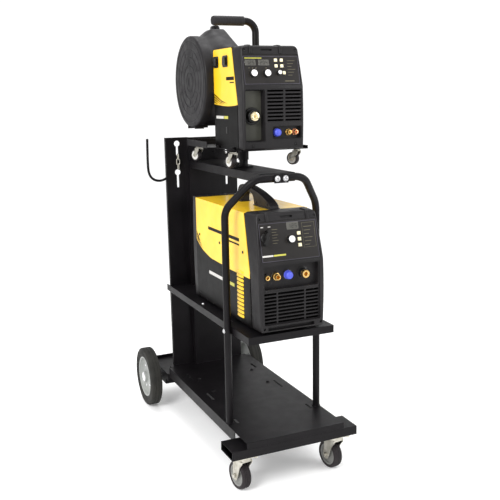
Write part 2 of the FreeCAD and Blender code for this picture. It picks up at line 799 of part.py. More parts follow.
def feeder_case():
    """Sheet case: floor, right side, top, back and the inner wall for the drive."""
    left = feeder_left + 2
    right = feeder_right - 2
    front = 300.0
    top = feeder_top - 3
    t = cover_sheet
    parts = [
        box(left, right, front, feeder_rear, feeder_bottom, feeder_bottom + t),
        box(right - t, right, front, feeder_rear, feeder_bottom, top),
        box(left, right, 340, feeder_rear, top - t, top),
        box(left, right, feeder_rear - t, feeder_rear, feeder_bottom, top),
        box(feeder_partition, feeder_partition + t, front, feeder_rear, feeder_bottom, top),
    ]
    case = union(parts)
    nose = prism_x([(250, 1100), (300, 1100), (302, 1285), (348.5, 1500), (250, 1500)],
                   -200, 300)
    case = case.cut(nose)
    case = case.cut(rod(20, 10, 0, post_setback, feeder_bottom - 4, Z_AXIS))
    case = case.cut(rod(14, 20, 0, feeder_rear - 10, drum_z, Y_AXIS))
    pins = []
    for y in (330, 470):
        lug = box(-67, left, y, y + 4, feeder_bottom + 1, feeder_bottom + 9)
        pin = rod(1.5, 24, -66, y + 2, feeder_bottom + 6, Y_AXIS)
        pins.append(lug.fuse(pin))
    return union([case] + pins)


def feeder_side_door():
    """Drop-down side door with two hinge barrels and two push latches."""
    z0 = feeder_bottom + 3
    x0 = feeder_left
    outline = prism_x([(303, z0), (305, 1285), (348, 1484), (517, 1484), (517, z0)], x0, x0 + 1.8)
    barrels = []
    for y in (334.5, 474.5):
        z = feeder_bottom + 6
        barrel = rod(3.2, 18, -66, y, z, Y_AXIS)
        strap = box(-66, x0 + 0.5, y, y + 18, z + 0.5, z + 3.2)
        knuckle = barrel.fuse(strap).cut(rod(1.5 + running_gap, 18, -66, y, z, Y_AXIS))
        barrels.append(knuckle)
        barrel_gap = box(-68, x0 + 2, y - 5, y + 18.5, z0 - 2, z)
        lug_gap = box(-68, x0 + 2, y - 5, y - 0.1, z0 - 2, z + 4)
        outline = outline.cut(barrel_gap).cut(lug_gap)
    door = union([outline] + barrels)
    latches = []
    for y in (389, 483):
        latches.append(box(x0 - 5, x0, y - 15, y + 15, 1425, 1457))
    return Part.makeCompound([door] + latches)


def feeder_outline(inset, back_bottom, back_mid, back_top):
    lean = math.tan(math.radians(feeder_tilt))
    low = feeder_bottom + inset
    high = feeder_top - inset
    top_y = feeder_front + (high - 12 - feeder_break_z) * lean + inset
    return [(feeder_front + inset, low), (feeder_front + inset, feeder_break_z),
            (top_y, high - 12), (top_y + 10, high), (back_top, high), (back_mid, 1285),
            (back_bottom, low)]


def feeder_front_bezel():
    centre = (feeder_left + feeder_right) / 2
    half = (feeder_right - feeder_left) / 2
    outline = prism_x(feeder_outline(0, 299.5, 301.5, 345), -150, 250)
    shell = bulged_slab(half - 1, half, half - 10, feeder_bottom, 1290, feeder_top, 200, 400,
                        centre)
    hollow_side = prism_x(feeder_outline(wall, 420, 420, 420), -150, 250)
    hollow = bulged_slab(half - 5, half - 4, half - 14, feeder_bottom + wall, 1290,
                         feeder_top - wall, 200, 430, centre)
    bezel = outline.common(shell).cut(hollow_side.common(hollow))
    torch_tub = box(-54, 23, feeder_front + 1, 294, 1160, 1342)
    hose_tub = box(48, 164, feeder_front + 1, 282, 1168, 1216)
    bezel = bezel.fuse(torch_tub).fuse(hose_tub).removeSplitter()
    bezel = bezel.cut(box(-51, 20, 250, 290, 1163, 1339))
    bezel = bezel.cut(box(51, 161, 250, 278, 1171, 1213))
    for row in range(9):
        z = 1335 - 12.5 * row
        for x0, x1 in ((31, 93), (100, 162)):
            bezel = bezel.cut(box(x0, x1, 250, 270, z - 3, z + 3))
    pocket = box(-52, 162, 255, feeder_front + 2, 1357, 1460)
    bezel = bezel.cut(on_feeder_face(pocket))
    for x, s, reach in feeder_knob_places():
        bezel = bezel.cut(on_feeder_face(rod(reach, 20, x, 255, feeder_break_z + s, Y_AXIS)))
    for x, s in feeder_key_places():
        z = feeder_break_z + s
        window = box(x - 5.5, x + 5.5, 255, 275, z - 5.5, z + 5.5)
        bezel = bezel.cut(on_feeder_face(window))
    bezel = bezel.cut(rod(16, 20, -17, 280, 1250, Y_AXIS))
    for x in (72, 118, 144):
        bezel = bezel.cut(rod(6, 20, x, 270, 1192, Y_AXIS))
    return bezel


def feeder_knob_places():
    return [(-17, 44, 5), (34, 44, 5), (80, 46, 4)]


def feeder_key_places():
    return [(72, 90), (94, 90), (72, 70), (94, 70)]


def feeder_control_panel():
    plate = box(-51.5, 161.5, feeder_front, feeder_front + 2, 1357.5, 1459.5)
    for x, s, reach in feeder_knob_places():
        plate = plate.cut(rod(reach, 20, x, 255, feeder_break_z + s, Y_AXIS))
    for x, s in feeder_key_places():
        z = feeder_break_z + s
        plate = plate.cut(box(x - 5.5, x + 5.5, 255, 275, z - 5.5, z + 5.5))
    for x in (-44, 6):
        window = box(x, x + 40, 255, feeder_front + 1, feeder_break_z + 72, feeder_break_z + 92)
        plate = plate.cut(window)
    lamp = rod(4, 4, 104, feeder_front, feeder_break_z + 46, V(0, -1, 0))
    return on_feeder_face(Part.makeCompound([plate, lamp]))


def feeder_knob(number):
    x, s, reach = feeder_knob_places()[number]
    radius = 13.0 if reach > 4.5 else 8.0
    knob = turned_knob(x, feeder_front, feeder_break_z + s, radius, 14.0, reach - 0.05, 12.0)
    return on_feeder_face(knob)


def feeder_key(number):
    x, s = feeder_key_places()[number]
    return on_feeder_face(push_key(x, feeder_front, feeder_break_z + s, 5.2, 2.5, 10))


def feeder_sockets():
    """Torch socket with its brass insert, the control socket and two hose unions."""
    x, z = -17.0, 1250.0
    flange = rod(30, 6, x, 290, z, V(0, -1, 0))
    collar = rod(22, 26, x, 290, z, V(0, -1, 0))
    body = union([flange, collar, rod(15.8, 14, x, 290, z, Y_AXIS)])
    core = rod(16, 31, x, 290, z, V(0, -1, 0))
    body = body.cut(core)
    core = core.cut(rod(4.5, 20, x, 270, z, V(0, -1, 0)))
    parts = [body, core]
    for x, body_r, bore_r, length in ((72, 14.5, 5, 20), (118, 9.5, 4, 15), (144, 9.5, 4, 15)):
        socket = ring(body_r, bore_r, length, x, 278, 1192, V(0, -1, 0))
        stem = rod(5.8, 12, x, 278, 1192, Y_AXIS)
        parts.append(union([socket, stem]))
    return Part.makeCompound(parts)


def drum_circle(radius, x0, x1):
    return rod(radius, x1 - x0, x0, drum_setback, drum_z, X_AXIS)


def spool_housing():
    """Fixed half of the wire drum: faired to the case, with the spool's axle inside."""
    circle = drum_circle(168, cover_join + 0.3, drum_right)
    fairing = prism_x([(feeder_rear + 0.3, 1232), (690, 1212), (704, 1574), (690, 1578),
                       (668, 1574), (feeder_rear + 0.3, 1500)], cover_join + 12, drum_right)
    shell = circle.fuse(fairing).removeSplitter()
    shell = shell.cut(drum_circle(162, cover_join - 5, drum_right - 3))
    axle = drum_circle(25, -52, drum_right - 2)
    hinge = box(-60, -40, drum_setback - 42, drum_setback + 42, 1202, 1216)
    hinge = hinge.cut(drum_circle(162, cover_join - 5, drum_right - 3))
    shell = union([shell, axle, hinge])
    pins = []
    for sign in (-1, 1):
        y = drum_setback + sign * 38
        lug = box(lid_hinge_x - 3, -55, y - 2, y + 2, 1198, 1203)
        pins.append(lug.fuse(rod(1.5, 20, lid_hinge_x, y, lid_hinge_z, V(0, -sign, 0))))
    shell = union([shell] + pins)
    latch = rod(5, 12, 20, drum_setback - 3, 1574, Z_AXIS)
    return Part.makeCompound([shell, latch.cut(shell)])


def spool_cover():
    """Round lid of the wire drum: ribbed face, deep rim and two hinge barrels."""
    lid = drum_circle(drum_r, drum_left, cover_join - 0.3)
    lid = lid.cut(drum_circle(drum_r - 4, drum_left + 4, cover_join))
    for radius in (150, 122, 94, 66, 38):
        groove = drum_circle(radius, drum_left - 1, drum_left + 1.2)
        groove = groove.cut(drum_circle(radius - 5, drum_left - 1, drum_left + 1.2))
        lid = lid.cut(groove)
    barrels = []
    for y in (drum_setback - 35.5, drum_setback + 21.5):
        barrel = rod(3.2, 14, lid_hinge_x, y, lid_hinge_z, Y_AXIS)
        strap = box(lid_hinge_x - 3.2, lid_hinge_x, y, y + 14, lid_hinge_z, 1208)
        bore = rod(1.5 + running_gap, 14, lid_hinge_x, y, lid_hinge_z, Y_AXIS)
        barrels.append(barrel.fuse(strap).cut(bore))
    return union([lid] + barrels)


def wire_spool():
    """Plastic spool with its winding of wire, running on the housing's axle."""
    left, right = -56.0, 44.0
    flanges = [ring(150, 25 + running_gap, 3, left, drum_setback, drum_z, X_AXIS),
               ring(150, 25 + running_gap, 3, right - 3, drum_setback, drum_z, X_AXIS)]
    barrel = ring(52, 25 + running_gap, right - left - 6, left + 3, drum_setback, drum_z, X_AXIS)
    spool = union(flanges + [barrel])
    winding = ring(132, 52, right - left - 6, left + 3, drum_setback, drum_z, X_AXIS)
    return Part.makeCompound([spool, winding])


def wire_drive():
    """Drive plate with the arm's pivot pin, a wire guide and the geared motor behind it."""
    plate = box(drive_face, feeder_partition, 345, 470, 1195, 1330)
    plate = plate.cut(rod(6 + running_gap, 30, drive_face - 5, roll_setback, roll_z, X_AXIS))
    pivot = rod(5, 24, drive_face, roll_setback - 42, roll_z + 40, V(-1, 0, 0))
    guide = ring(6, 1.5, 30, drive_face - 12, roll_setback + 30, roll_z + 18.8, Y_AXIS)
    bracket = box(drive_face - 12, drive_face, roll_setback + 34, roll_setback + 54,
                  roll_z + 4, roll_z + 13)
    motor = rod(38, 84, feeder_partition + cover_sheet, roll_setback, roll_z + 6, X_AXIS)
    body = union([plate, pivot, bracket, guide])
    return Part.makeCompound([body, motor])


def drive_roll():
    """Grooved feed roll and the shaft that carries it in the drive plate."""
    roll = rod(18, 14, drive_face - 5, roll_setback, roll_z, V(-1, 0, 0))
    groove = ring(20, 17.2, 2, drive_face - 13, roll_setback, roll_z, X_AXIS)
    shaft = rod(6, 30, drive_face - 16, roll_setback, roll_z, X_AXIS)
    return union([roll.cut(groove), shaft])


def pressure_arm():
    """Arm that presses the upper roll down on the wire, with its tension screw."""
    y0 = roll_setback - 42
    z0 = roll_z + 40
    arm = box(drive_face - 20, drive_face - 6, y0 - 8, y0 + 92, z0 - 8, z0 + 8)
    arm = arm.cut(rod(5 + running_gap, 30, drive_face - 26, y0, z0, X_AXIS))
    upper = rod(18, 10, drive_face - 7, roll_setback, roll_z + 38, V(-1, 0, 0))
    screw = rod(7, 26, drive_face - 13, y0 + 82, z0 + 8, Z_AXIS)
    return union([arm, upper, screw])


def feeder_handle_tube():
    """Post that rises from the case's top and turns to the drum side."""
    y = front_y + 400
    top = 1577.0
    flange = rod(24, 4, 54, 400, feeder_top - 3, Z_AXIS)
    tube = bent_rod([V(54, y, feeder_top - 3), V(54, y, top), V(-104, y, top)], 40.0, 12.5)
    return union([flange, tube])


def feeder_handle_grip():
    """Rubber sleeve on the handle's free end, closed by a rounded nose."""
    sleeve = rod(16.5, 116, 8, 400, 1577, V(-1, 0, 0))
    nose = Part.makeCone(16.5, 12, 4, V(-108, front_y + 400, 1577), V(-1, 0, 0))
    grip = sleeve.fuse(nose).removeSplitter()
    return grip.cut(rod(12.5, 112, 8, 400, 1577, V(-1, 0, 0)))


def all_parts():
    parts = {
        "deck_plate": deck_plate(),
        "front_crossbeam": front_crossbeam(),
        "chassis_frame": chassis_frame(),
        "rear_axle": rear_axle(),
        "castor_plates": castor_plates(),
        "column_panel": column_panel(),
        "power_source_shelf": power_source_shelf(),
        "front_loop_tube": front_loop_tube(),
        "top_arm": top_arm(),
        "pivot_post": pivot_post(),
        "cable_hook": cable_hook(),
        "bottle_chain": bottle_chain(),
        "trolley_fasteners": trolley_fasteners(),
        "source_front_bezel": source_front_bezel(),
        "source_control_panel": source_control_panel(),
        "source_cover": source_cover(),
        "source_base_pan": source_base_pan(),
        "source_rear_panel": source_rear_panel(),
        "source_carry_handle": source_carry_handle(),
        "output_sockets": output_sockets(),
        "inverter_core": inverter_core(),
        "cooling_fan": cooling_fan(),
        "power_switch": power_switch(),
        "setting_knob": setting_knob(),
        "feeder_tray": feeder_tray(),
        "feeder_case": feeder_case(),
        "feeder_side_door": feeder_side_door(),
        "feeder_front_bezel": feeder_front_bezel(),
        "feeder_control_panel": feeder_control_panel(),
        "feeder_sockets": feeder_sockets(),
        "spool_housing": spool_housing(),
        "spool_cover": spool_cover(),
        "wire_spool": wire_spool(),
        "wire_drive": wire_drive(),
        "drive_roll": drive_roll(),
        "pressure_arm": pressure_arm(),
        "feeder_handle_tube": feeder_handle_tube(),
        "feeder_handle_grip": feeder_handle_grip(),
    }
    for side, name in ((-1, "left"), (1, "right")):
        parts[name + "_wheel_tyre"] = tyre(side)
        parts[name + "_wheel_rim"] = rim(side)
        parts[name + "_castor_fork"] = castor_fork(side)
        parts[name + "_castor_wheel"] = castor_wheel(side)
    for number, s in enumerate((93, 73.5, 54), 1):
        parts["source_key_%d" % number] = source_key(s)
    for number, name in enumerate(("voltage_knob", "wire_speed_knob", "trim_knob")):
        parts[name] = feeder_knob(number)
    for number in range(4):
        parts["feeder_key_%d" % (number + 1)] = feeder_key(number)
    for number, (x, y, turn) in enumerate(feeder_castor_places(), 1):
        parts["feeder_castor_%d" % number] = feeder_castor(x, y, turn)
    return parts


os.makedirs("parts", exist_ok=True)
for node, shape in all_parts().items():
    shape.exportStep("parts/%s.step" % node)
    bounds = shape.BoundBox
    print("%-24s solids %2d valid %s  x %.1f %.1f  y %.1f %.1f  z %.1f %.1f"
          % (node, len(shape.Solids), shape.isValid(), bounds.XMin, bounds.XMax,
             bounds.YMin, bounds.YMax, bounds.ZMin, bounds.ZMax))
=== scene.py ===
import json
import random
from math import atan2, cos, pi, radians, sin, tan

import bmesh
import bpy
from mathutils import Matrix, Vector

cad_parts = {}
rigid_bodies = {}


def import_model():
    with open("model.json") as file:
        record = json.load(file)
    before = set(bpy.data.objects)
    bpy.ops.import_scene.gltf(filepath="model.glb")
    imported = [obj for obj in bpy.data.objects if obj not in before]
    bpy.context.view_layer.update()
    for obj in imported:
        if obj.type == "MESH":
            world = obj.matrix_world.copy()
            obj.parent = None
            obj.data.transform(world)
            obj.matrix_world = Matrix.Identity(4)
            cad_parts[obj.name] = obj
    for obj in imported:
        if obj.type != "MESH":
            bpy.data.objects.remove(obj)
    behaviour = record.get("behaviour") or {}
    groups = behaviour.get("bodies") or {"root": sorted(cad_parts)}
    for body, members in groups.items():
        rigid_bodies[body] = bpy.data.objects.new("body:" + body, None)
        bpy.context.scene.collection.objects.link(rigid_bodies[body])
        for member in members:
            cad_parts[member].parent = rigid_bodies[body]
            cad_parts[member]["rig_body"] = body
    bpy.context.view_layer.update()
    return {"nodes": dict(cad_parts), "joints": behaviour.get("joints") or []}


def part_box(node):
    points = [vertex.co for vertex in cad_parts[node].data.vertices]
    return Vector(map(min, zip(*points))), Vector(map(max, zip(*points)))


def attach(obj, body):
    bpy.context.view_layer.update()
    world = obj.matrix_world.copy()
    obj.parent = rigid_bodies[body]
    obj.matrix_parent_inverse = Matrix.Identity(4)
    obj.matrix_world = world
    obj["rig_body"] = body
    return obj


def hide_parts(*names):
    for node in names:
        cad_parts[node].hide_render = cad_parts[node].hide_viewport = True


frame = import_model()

# Lengths are in millimetres, with y measured back from the crossbeam's front face, as "setback".
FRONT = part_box("front_crossbeam")[0].y * 1000
SOURCE_BREAK = (26.0, 783.0, 14.0)      # setback, z and tilt of the power source's upper face
FEEDER_BREAK = (260.0, 1350.0, 12.0)    # the same for the feeder
ROUND = 48                              # sides of a large turned surface
RANDOM = random.Random(7)
DRUM_AXIS = (690.0, 1375.0)             # setback and z of the wire drum's axis
DRUM_RADIUS = 168.0
FILM_FACE = 1.2                         # how far a panel's film lies behind the bezel's face
INK = 0.15                              # depth of printed marks
TOWARDS = (0, -1, 0)                    # direction of the front


# ------------------------------------------------------------------ mesh helpers

def corner_arc(before, corner, after, radius, steps):
    """Points of the arc that rounds one corner of an outline."""
    into = (before - corner).normalized()
    out = (after - corner).normalized()
    angle = into.angle(out)
    if radius <= 0 or angle > radians(179):
        return [corner]
    reach = min(radius / tan(angle / 2), (before - corner).length * 0.49,
                (after - corner).length * 0.49)
    radius = reach * tan(angle / 2)
    middle = corner + (into + out).normalized() * (radius / sin(angle / 2))
    start = corner + into * reach - middle
    finish = corner + out * reach - middle
    sweep = start.angle_signed(finish)
    arc = []
    for step in range(steps + 1):
        turn = -sweep * step / steps
        c, s = cos(turn), sin(turn)
        arc.append(middle + Vector((start.x * c - start.y * s, start.x * s + start.y * c)))
    return arc


def rounded(points, radii, steps=5):
    """A closed outline with its corners rounded; radii is one number or one for each corner."""
    corners = [Vector(p) for p in points]
    if not hasattr(radii, "__len__"):
        radii = [radii] * len(corners)
    outline = []
    for number, corner in enumerate(corners):
        after = corners[(number + 1) % len(corners)]
        outline += corner_arc(corners[number - 1], corner, after, radii[number], steps)
    return outline


def rectangle(u0, u1, v0, v1, radius=0.0, steps=4):
    return rounded([(u0, v0), (u1, v0), (u1, v1), (u0, v1)], radius, steps)


def circle(u, v, radius, sides=32):
    turns = [2 * pi * n / sides for n in range(sides)]
    return [Vector((u + radius * cos(a), v + radius * sin(a))) for a in turns]


PLANES = {
    "front": lambda u, v, w: (u, w, v),
    "side": lambda u, v, w: (w, u, v),
    "top": lambda u, v, w: (u, v, w),
}


def slab(bm, outline, plane, low, high, paint=0):
    """Extrude an outline drawn in one plane between two depths."""
    place = PLANES[plane]
    rings = [[bm.verts.new(place(p[0], p[1], w)) for p in outline] for w in (low, high)]
    faces = [bm.faces.new(rings[0]), bm.faces.new(rings[1][::-1])]
    count = len(outline)
    for n in range(count):
        m = (n + 1) % count
        faces.append(bm.faces.new((rings[0][n], rings[0][m], rings[1][m], rings[1][n])))
    for face in faces:
        face.material_index = paint
    bmesh.ops.recalc_face_normals(bm, faces=faces)
    return faces


def block(bm, x0, x1, y0, y1, z0, z1, paint=0):
    return slab(bm, rectangle(x0, x1, z0, z1), "front", y0, y1, paint)


def slabs(rows):
    """A new mesh of rounded plates; each row is x0, x1, z0, z1, radius, front, back."""
    bm = bmesh.new()
    for x0, x1, z0, z1, radius, front, back in rows:
        slab(bm, rectangle(x0, x1, z0, z1, radius), "front", front, back)
    return bm


def moved(bm, matrix):
    bmesh.ops.transform(bm, verts=bm.verts, matrix=matrix)
    return bm


def fluted(count, depth, bands):
    """Radius rule that puts flutes on some rings of a turned shape."""
    return lambda index, a, r: r * (1 - depth * (0.5 + 0.5 * cos(count * a))) if index in bands else r


def hexagonal(bands):
    """Radius rule that makes some rings of a turned shape hexagons."""
    return lambda index, a, r: r / cos((a % (pi / 3)) - pi / 6) if index in bands else r


def turned(bm, profile, origin, axis, sides=ROUND, paint=0, shape=None):
    """Turn a (radius, distance) profile about an axis; paint may be one number per band."""
    axis = Vector(axis).normalized()
    spin = axis.to_track_quat("Z", "Y").to_matrix()
    origin = Vector(origin)
    rings = []
    for index, (radius, along) in enumerate(profile):
        if radius < 1e-6:
            rings.append([bm.verts.new(origin + spin @ Vector((0, 0, along)))])
            continue
        ring = []
        for n in range(sides):
            a = 2 * pi * n / sides
            r = shape(index, a, radius) if shape else radius
            ring.append(bm.verts.new(origin + spin @ Vector((r * cos(a), r * sin(a), along))))
        rings.append(ring)
    faces = []
    for band, (low, high) in enumerate(zip(rings, rings[1:])):
        for n in range(sides):
            m = (n + 1) % sides
            corners = [low[n % len(low)], low[m % len(low)], high[m % len(high)], high[n % len(high)]]
            corners = [v for i, v in enumerate(corners) if v not in corners[:i]]
            face = bm.faces.new(corners)
            face.material_index = paint[band] if hasattr(paint, "__len__") else paint
            face.smooth = True
            faces.append(face)
    bmesh.ops.recalc_face_normals(bm, faces=faces)
    return faces


def smooth_line(points, steps=8):
    """Catmull-Rom points through a few given ones."""
    points = [Vector(p) for p in points]
    points = [points[0] * 2 - points[1]] + points + [points[-1] * 2 - points[-2]]
    line = []
    for a, b, c, d in zip(points, points[1:], points[2:], points[3:]):
        for step in range(steps):
            t = step / steps
            line.append(0.5 * (b * 2 + (c - a) * t + (a * 2 - b * 5 + c * 4 - d) * t ** 2
                               + (b * 3 - a - c * 3 + d) * t ** 3))
    line.append(points[-2])
    return line


def swept(bm, path, section, up, paint=0, closed=False):
    """Carry a flat section along a path; the section's v axis stays near up."""
    up = Vector(up)
    rings = []
    count = len(path)
    for n, point in enumerate(path):
        ahead = path[(n + 1) % count] if closed or n + 1 < count else point
        behind = path[n - 1] if closed or n > 0 else point
        forward = (ahead - behind).normalized()
        side = forward.cross(up).normalized()
        top = side.cross(forward)
        rings.append([bm.verts.new(point + side * u + top * v) for u, v in section])
    faces = []
    pairs = list(zip(rings, rings[1:])) + ([(rings[-1], rings[0])] if closed else [])
    for low, high in pairs:
        for n in range(len(section)):
            m = (n + 1) % len(section)
            face = bm.faces.new((low[n], low[m], high[m], high[n]))
            face.smooth = True
            faces.append(face)
    if not closed:
        faces += [bm.faces.new(rings[0][::-1]), bm.faces.new(rings[-1])]
    for face in faces:
        face.material_index = paint
    bmesh.ops.recalc_face_normals(bm, faces=faces)
    return faces


def combined(bm, tool, operation="DIFFERENCE", paints=6):
    """The solid in bm changed by the solid in tool; both are used up."""
    pair = []
    for source in (bm, tool):
        mesh = bpy.data.meshes.new("scratch")
        source.to_mesh(mesh)
        source.free()
        for _ in range(paints):
            mesh.materials.append(None)
        scratch = bpy.data.objects.new("scratch", mesh)
        bpy.context.collection.objects.link(scratch)
        pair.append(scratch)
    change = pair[0].modifiers.new("change", "BOOLEAN")
    change.operation = operation
    change.solver = "EXACT"
    change.object = pair[1]
    result = bmesh.new()
    result.from_object(pair[0], bpy.context.evaluated_depsgraph_get())
    for scratch in pair:
        mesh = scratch.data
        bpy.data.objects.remove(scratch)
        bpy.data.meshes.remove(mesh)
    return result


def leaned(bm, place):
    """Lean what was drawn on an upright face back onto the tilted face."""
    setback, z, degrees = place
    pivot = Vector((0, setback, z))
    spin = Matrix.Rotation(-radians(degrees), 4, "X")
    return moved(bm, Matrix.Translation(pivot) @ spin @ Matrix.Translation(-pivot))


def piece(name, bm, materials, body, replaces=(), edge=0.0, segments=2, angle=35):
    """Put a finished mesh in the scene, in metres, riding on a CAD body."""
    for vertex in bm.verts:
        x, y, z = vertex.co
        vertex.co = Vector((x, FRONT + y, z)) / 1000
    mesh = bpy.data.meshes.new(name)
    bm.to_mesh(mesh)
    bm.free()
    return dressed(name, mesh, materials, body, replaces, edge, segments, angle)


def dressed(name, mesh, materials, body, replaces, edge, segments, angle):
    for material in materials if isinstance(materials, (list, tuple)) else [materials]:
        mesh.materials.append(material)
    for polygon in mesh.polygons:
        polygon.use_smooth = True
    mesh.set_sharp_from_angle(angle=radians(angle))
    made = bpy.data.objects.new(name, mesh)
    bpy.context.collection.objects.link(made)
    if edge:
        bevel = made.modifiers.new("edges", "BEVEL")
        bevel.width = edge / 1000
        bevel.segments = segments
        bevel.limit_method = "ANGLE"
        bevel.angle_limit = radians(angle)
        bevel.harden_normals = True
    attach(made, body)
    if replaces:
        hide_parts(*replaces)
    return made


def eased_node(node, materials, edge=0.6, segments=2, angle=30, name=None, paint=None):
    """A CAD node's own shape with its edges rounded, as a piece that stands for it."""
    source = frame["nodes"][node]
    bm = bmesh.new()
    bm.from_mesh(source.data)
    bmesh.ops.remove_doubles(bm, verts=bm.verts, dist=2e-6)
    bmesh.ops.dissolve_limit(bm, angle_limit=radians(0.5), verts=bm.verts, edges=bm.edges)
    for face in bm.faces:
        face.material_index = paint(face) if paint else 0
    mesh = bpy.data.meshes.new(node + "_skin")
    bm.to_mesh(mesh)
    bm.free()
    return dressed(name or node + "_skin", mesh, materials, source["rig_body"],
                   (node,), edge, segments, angle)


# --------------------------------------------------------------------- materials

def new_material(name, roughness, metallic=0.0, specular=0.5, coat=0.0):
    material = bpy.data.materials.new(name)
    material.use_nodes = True
    shader = material.node_tree.nodes["Principled BSDF"]
    settings(shader, Roughness=roughness, Metallic=metallic, Specular_IOR_Level=specular, Coat_Weight=coat)
    return material, material.node_tree, shader


def settings(node, **values):
    """Set a node's inputs; an underscore stands for the space in an input's name."""
    for name, value in values.items():
        node.inputs[name.replace("_", " ")].default_value = value


def noise(tree, scale, detail=4.0, stretch=None):
    """Noise in the piece's own coordinates, in metres; stretch scales X, Y and Z apart."""
    place = tree.nodes.new("ShaderNodeTexCoord")
    texture = tree.nodes.new("ShaderNodeTexNoise")
    settings(texture, Scale=scale, Detail=detail)
    if stretch:
        mapping = tree.nodes.new("ShaderNodeMapping")
        settings(mapping, Scale=stretch)
        tree.links.new(place.outputs["Object"], mapping.inputs["Vector"])
        tree.links.new(mapping.outputs["Vector"], texture.inputs["Vector"])
    else:
        tree.links.new(place.outputs["Object"], texture.inputs["Vector"])
    return texture.outputs["Fac"]


def mapped(tree, value, low, high):
    node = tree.nodes.new("ShaderNodeMapRange")
    settings(node, From_Min=0.35, From_Max=0.65, To_Min=low, To_Max=high)
    tree.links.new(value, node.inputs["Value"])
    return node.outputs["Result"]


def mixed(tree, factor, first, second):
    node = tree.nodes.new("ShaderNodeMix")
    node.data_type = "RGBA"
    node.inputs["A"].default_value = (*first, 1)
    node.inputs["B"].default_value = (*second, 1)
    tree.links.new(factor, node.inputs["Factor"])
    return node.outputs["Result"]


def bumped(tree, shader, height, strength, distance):
    node = tree.nodes.new("ShaderNodeBump")
    settings(node, Strength=strength, Distance=distance)
    tree.links.new(height, node.inputs["Height"])
    tree.links.new(node.outputs["Normal"], shader.inputs["Normal"])


def coated(name, dark, light, rough_low, rough_high, grain, depth, metallic=0.0, coat=0.0,
           stretch=None, cloud=9.0, specular=0.5):
    """A surface with cloudy colour, uneven gloss and a fine grain."""
    material, tree, shader = new_material(name, 0.5, metallic, specular, coat)
    tree.links.new(mixed(tree, mapped(tree, noise(tree, cloud, 5), 0, 1), dark, light),
                   shader.inputs["Base Color"])
    tree.links.new(mapped(tree, noise(tree, cloud * 3.1, 6), rough_low, rough_high),
                   shader.inputs["Roughness"])
    bumped(tree, shader, noise(tree, grain, 2, stretch), 0.35, depth)
    return material


powder = coated("black_powder_coat", (0.0035, 0.0030, 0.0036), (0.0062, 0.0052, 0.0062),
                0.40, 0.45, 900, 0.00012, specular=0.14)
plastic = coated("dark_moulded_plastic", (0.0085, 0.0078, 0.0084), (0.0135, 0.0122, 0.0130),
                 0.38, 0.52, 1400, 0.00010, specular=0.20)
drum_plastic = coated("drum_plastic", (0.0075, 0.0068, 0.0078), (0.0120, 0.0108, 0.0122),
                      0.42, 0.58, 1100, 0.00012, specular=0.20)
film = coated("control_film", (0.0125, 0.0110, 0.0105), (0.0170, 0.0150, 0.0142),
              0.30, 0.42, 2600, 0.00003, specular=0.20)
black_film = coated("black_side_film", (0.0018, 0.0015, 0.0015), (0.0030, 0.0026, 0.0026),
                    0.30, 0.36, 700, 0.00005, specular=0.05)
# Light violet edge colour: a painted highlight standing in for the clear flap's gloss; the raised edge itself
# is real.
flap_edge_painted_sheen = coated("flap_edge_painted_sheen", (0.050, 0.046, 0.062), (0.075, 0.068, 0.090),
                   0.14, 0.22, 900, 0.00002, specular=0.6)
yellow = coated("yellow_paint", (0.83, 0.50, 0.012), (0.90, 0.57, 0.020),
                0.30, 0.40, 800, 0.00008, coat=0.2)
zinc = coated("zinc_plate", (0.40, 0.38, 0.32), (0.62, 0.60, 0.54), 0.28, 0.46, 500, 0.00006,
              metallic=1.0, cloud=40)
steel = coated("turned_steel", (0.50, 0.50, 0.51), (0.68, 0.68, 0.69), 0.20, 0.34, 700, 0.00004,
               metallic=1.0, cloud=60)
chrome = coated("chrome", (0.74, 0.74, 0.76), (0.82, 0.82, 0.84), 0.05, 0.12, 200, 0.00001,
                metallic=1.0, cloud=50)
brass = coated("turned_brass", (0.62, 0.38, 0.11), (0.78, 0.53, 0.20), 0.20, 0.34, 900, 0.00004,
               metallic=1.0, cloud=90)
copper = coated("copper", (0.70, 0.30, 0.14), (0.85, 0.43, 0.24), 0.22, 0.36, 900, 0.00004,
                metallic=1.0, cloud=90)
tyre_rubber = coated("tyre_rubber", (0.014, 0.014, 0.013), (0.026, 0.025, 0.022),
                     0.62, 0.80, 500, 0.00025, specular=0.2)
castor_rubber = coated("castor_rubber", (0.016, 0.013, 0.014), (0.026, 0.022, 0.024),
                       0.50, 0.66, 700, 0.00015, specular=0.2)
grip_rubber = coated("grip_rubber", (0.010, 0.009, 0.010), (0.016, 0.015, 0.016),
                     0.55, 0.70, 1500, 0.00015, specular=0.2)
rim_paint = coated("rim_paint", (0.26, 0.27, 0.26), (0.34, 0.35, 0.33), 0.34, 0.48, 600, 0.00010)
hub_plastic = coated("hub_plastic", (0.16, 0.16, 0.15), (0.23, 0.23, 0.22), 0.40, 0.52, 900, 0.00008)
cream = coated("cream_key", (0.78, 0.70, 0.45), (0.86, 0.79, 0.55), 0.30, 0.42, 1500, 0.00004)
white_cap = coated("white_cap", (0.76, 0.74, 0.74), (0.84, 0.82, 0.82), 0.28, 0.40, 1500, 0.00004)
knob_black = coated("knob_black", (0.004, 0.004, 0.004), (0.008, 0.0075, 0.0075),
                    0.24, 0.38, 1800, 0.00006, specular=0.3)
# Near-black, barely reflective colour: painted shade, put on the case's inner faces and on sheets behind
# grille openings.
painted_inner_shade = coated("painted_inner_shade", (0.0020, 0.0018, 0.0018), (0.0035, 0.0030, 0.0030),
                     0.75, 0.90, 900, 0.00010, specular=0.05)
pale_brass = coated("pale_brass", (0.86, 0.72, 0.42), (0.93, 0.82, 0.56), 0.22, 0.34, 900, 0.00003,
                    metallic=1.0, cloud=90)
blue_cap = coated("blue_cap", (0.050, 0.070, 0.50), (0.080, 0.105, 0.62), 0.34, 0.46, 1600, 0.00006)
window = coated("display_window", (0.060, 0.058, 0.050), (0.085, 0.082, 0.072),
                0.10, 0.16, 300, 0.00001, coat=0.5)
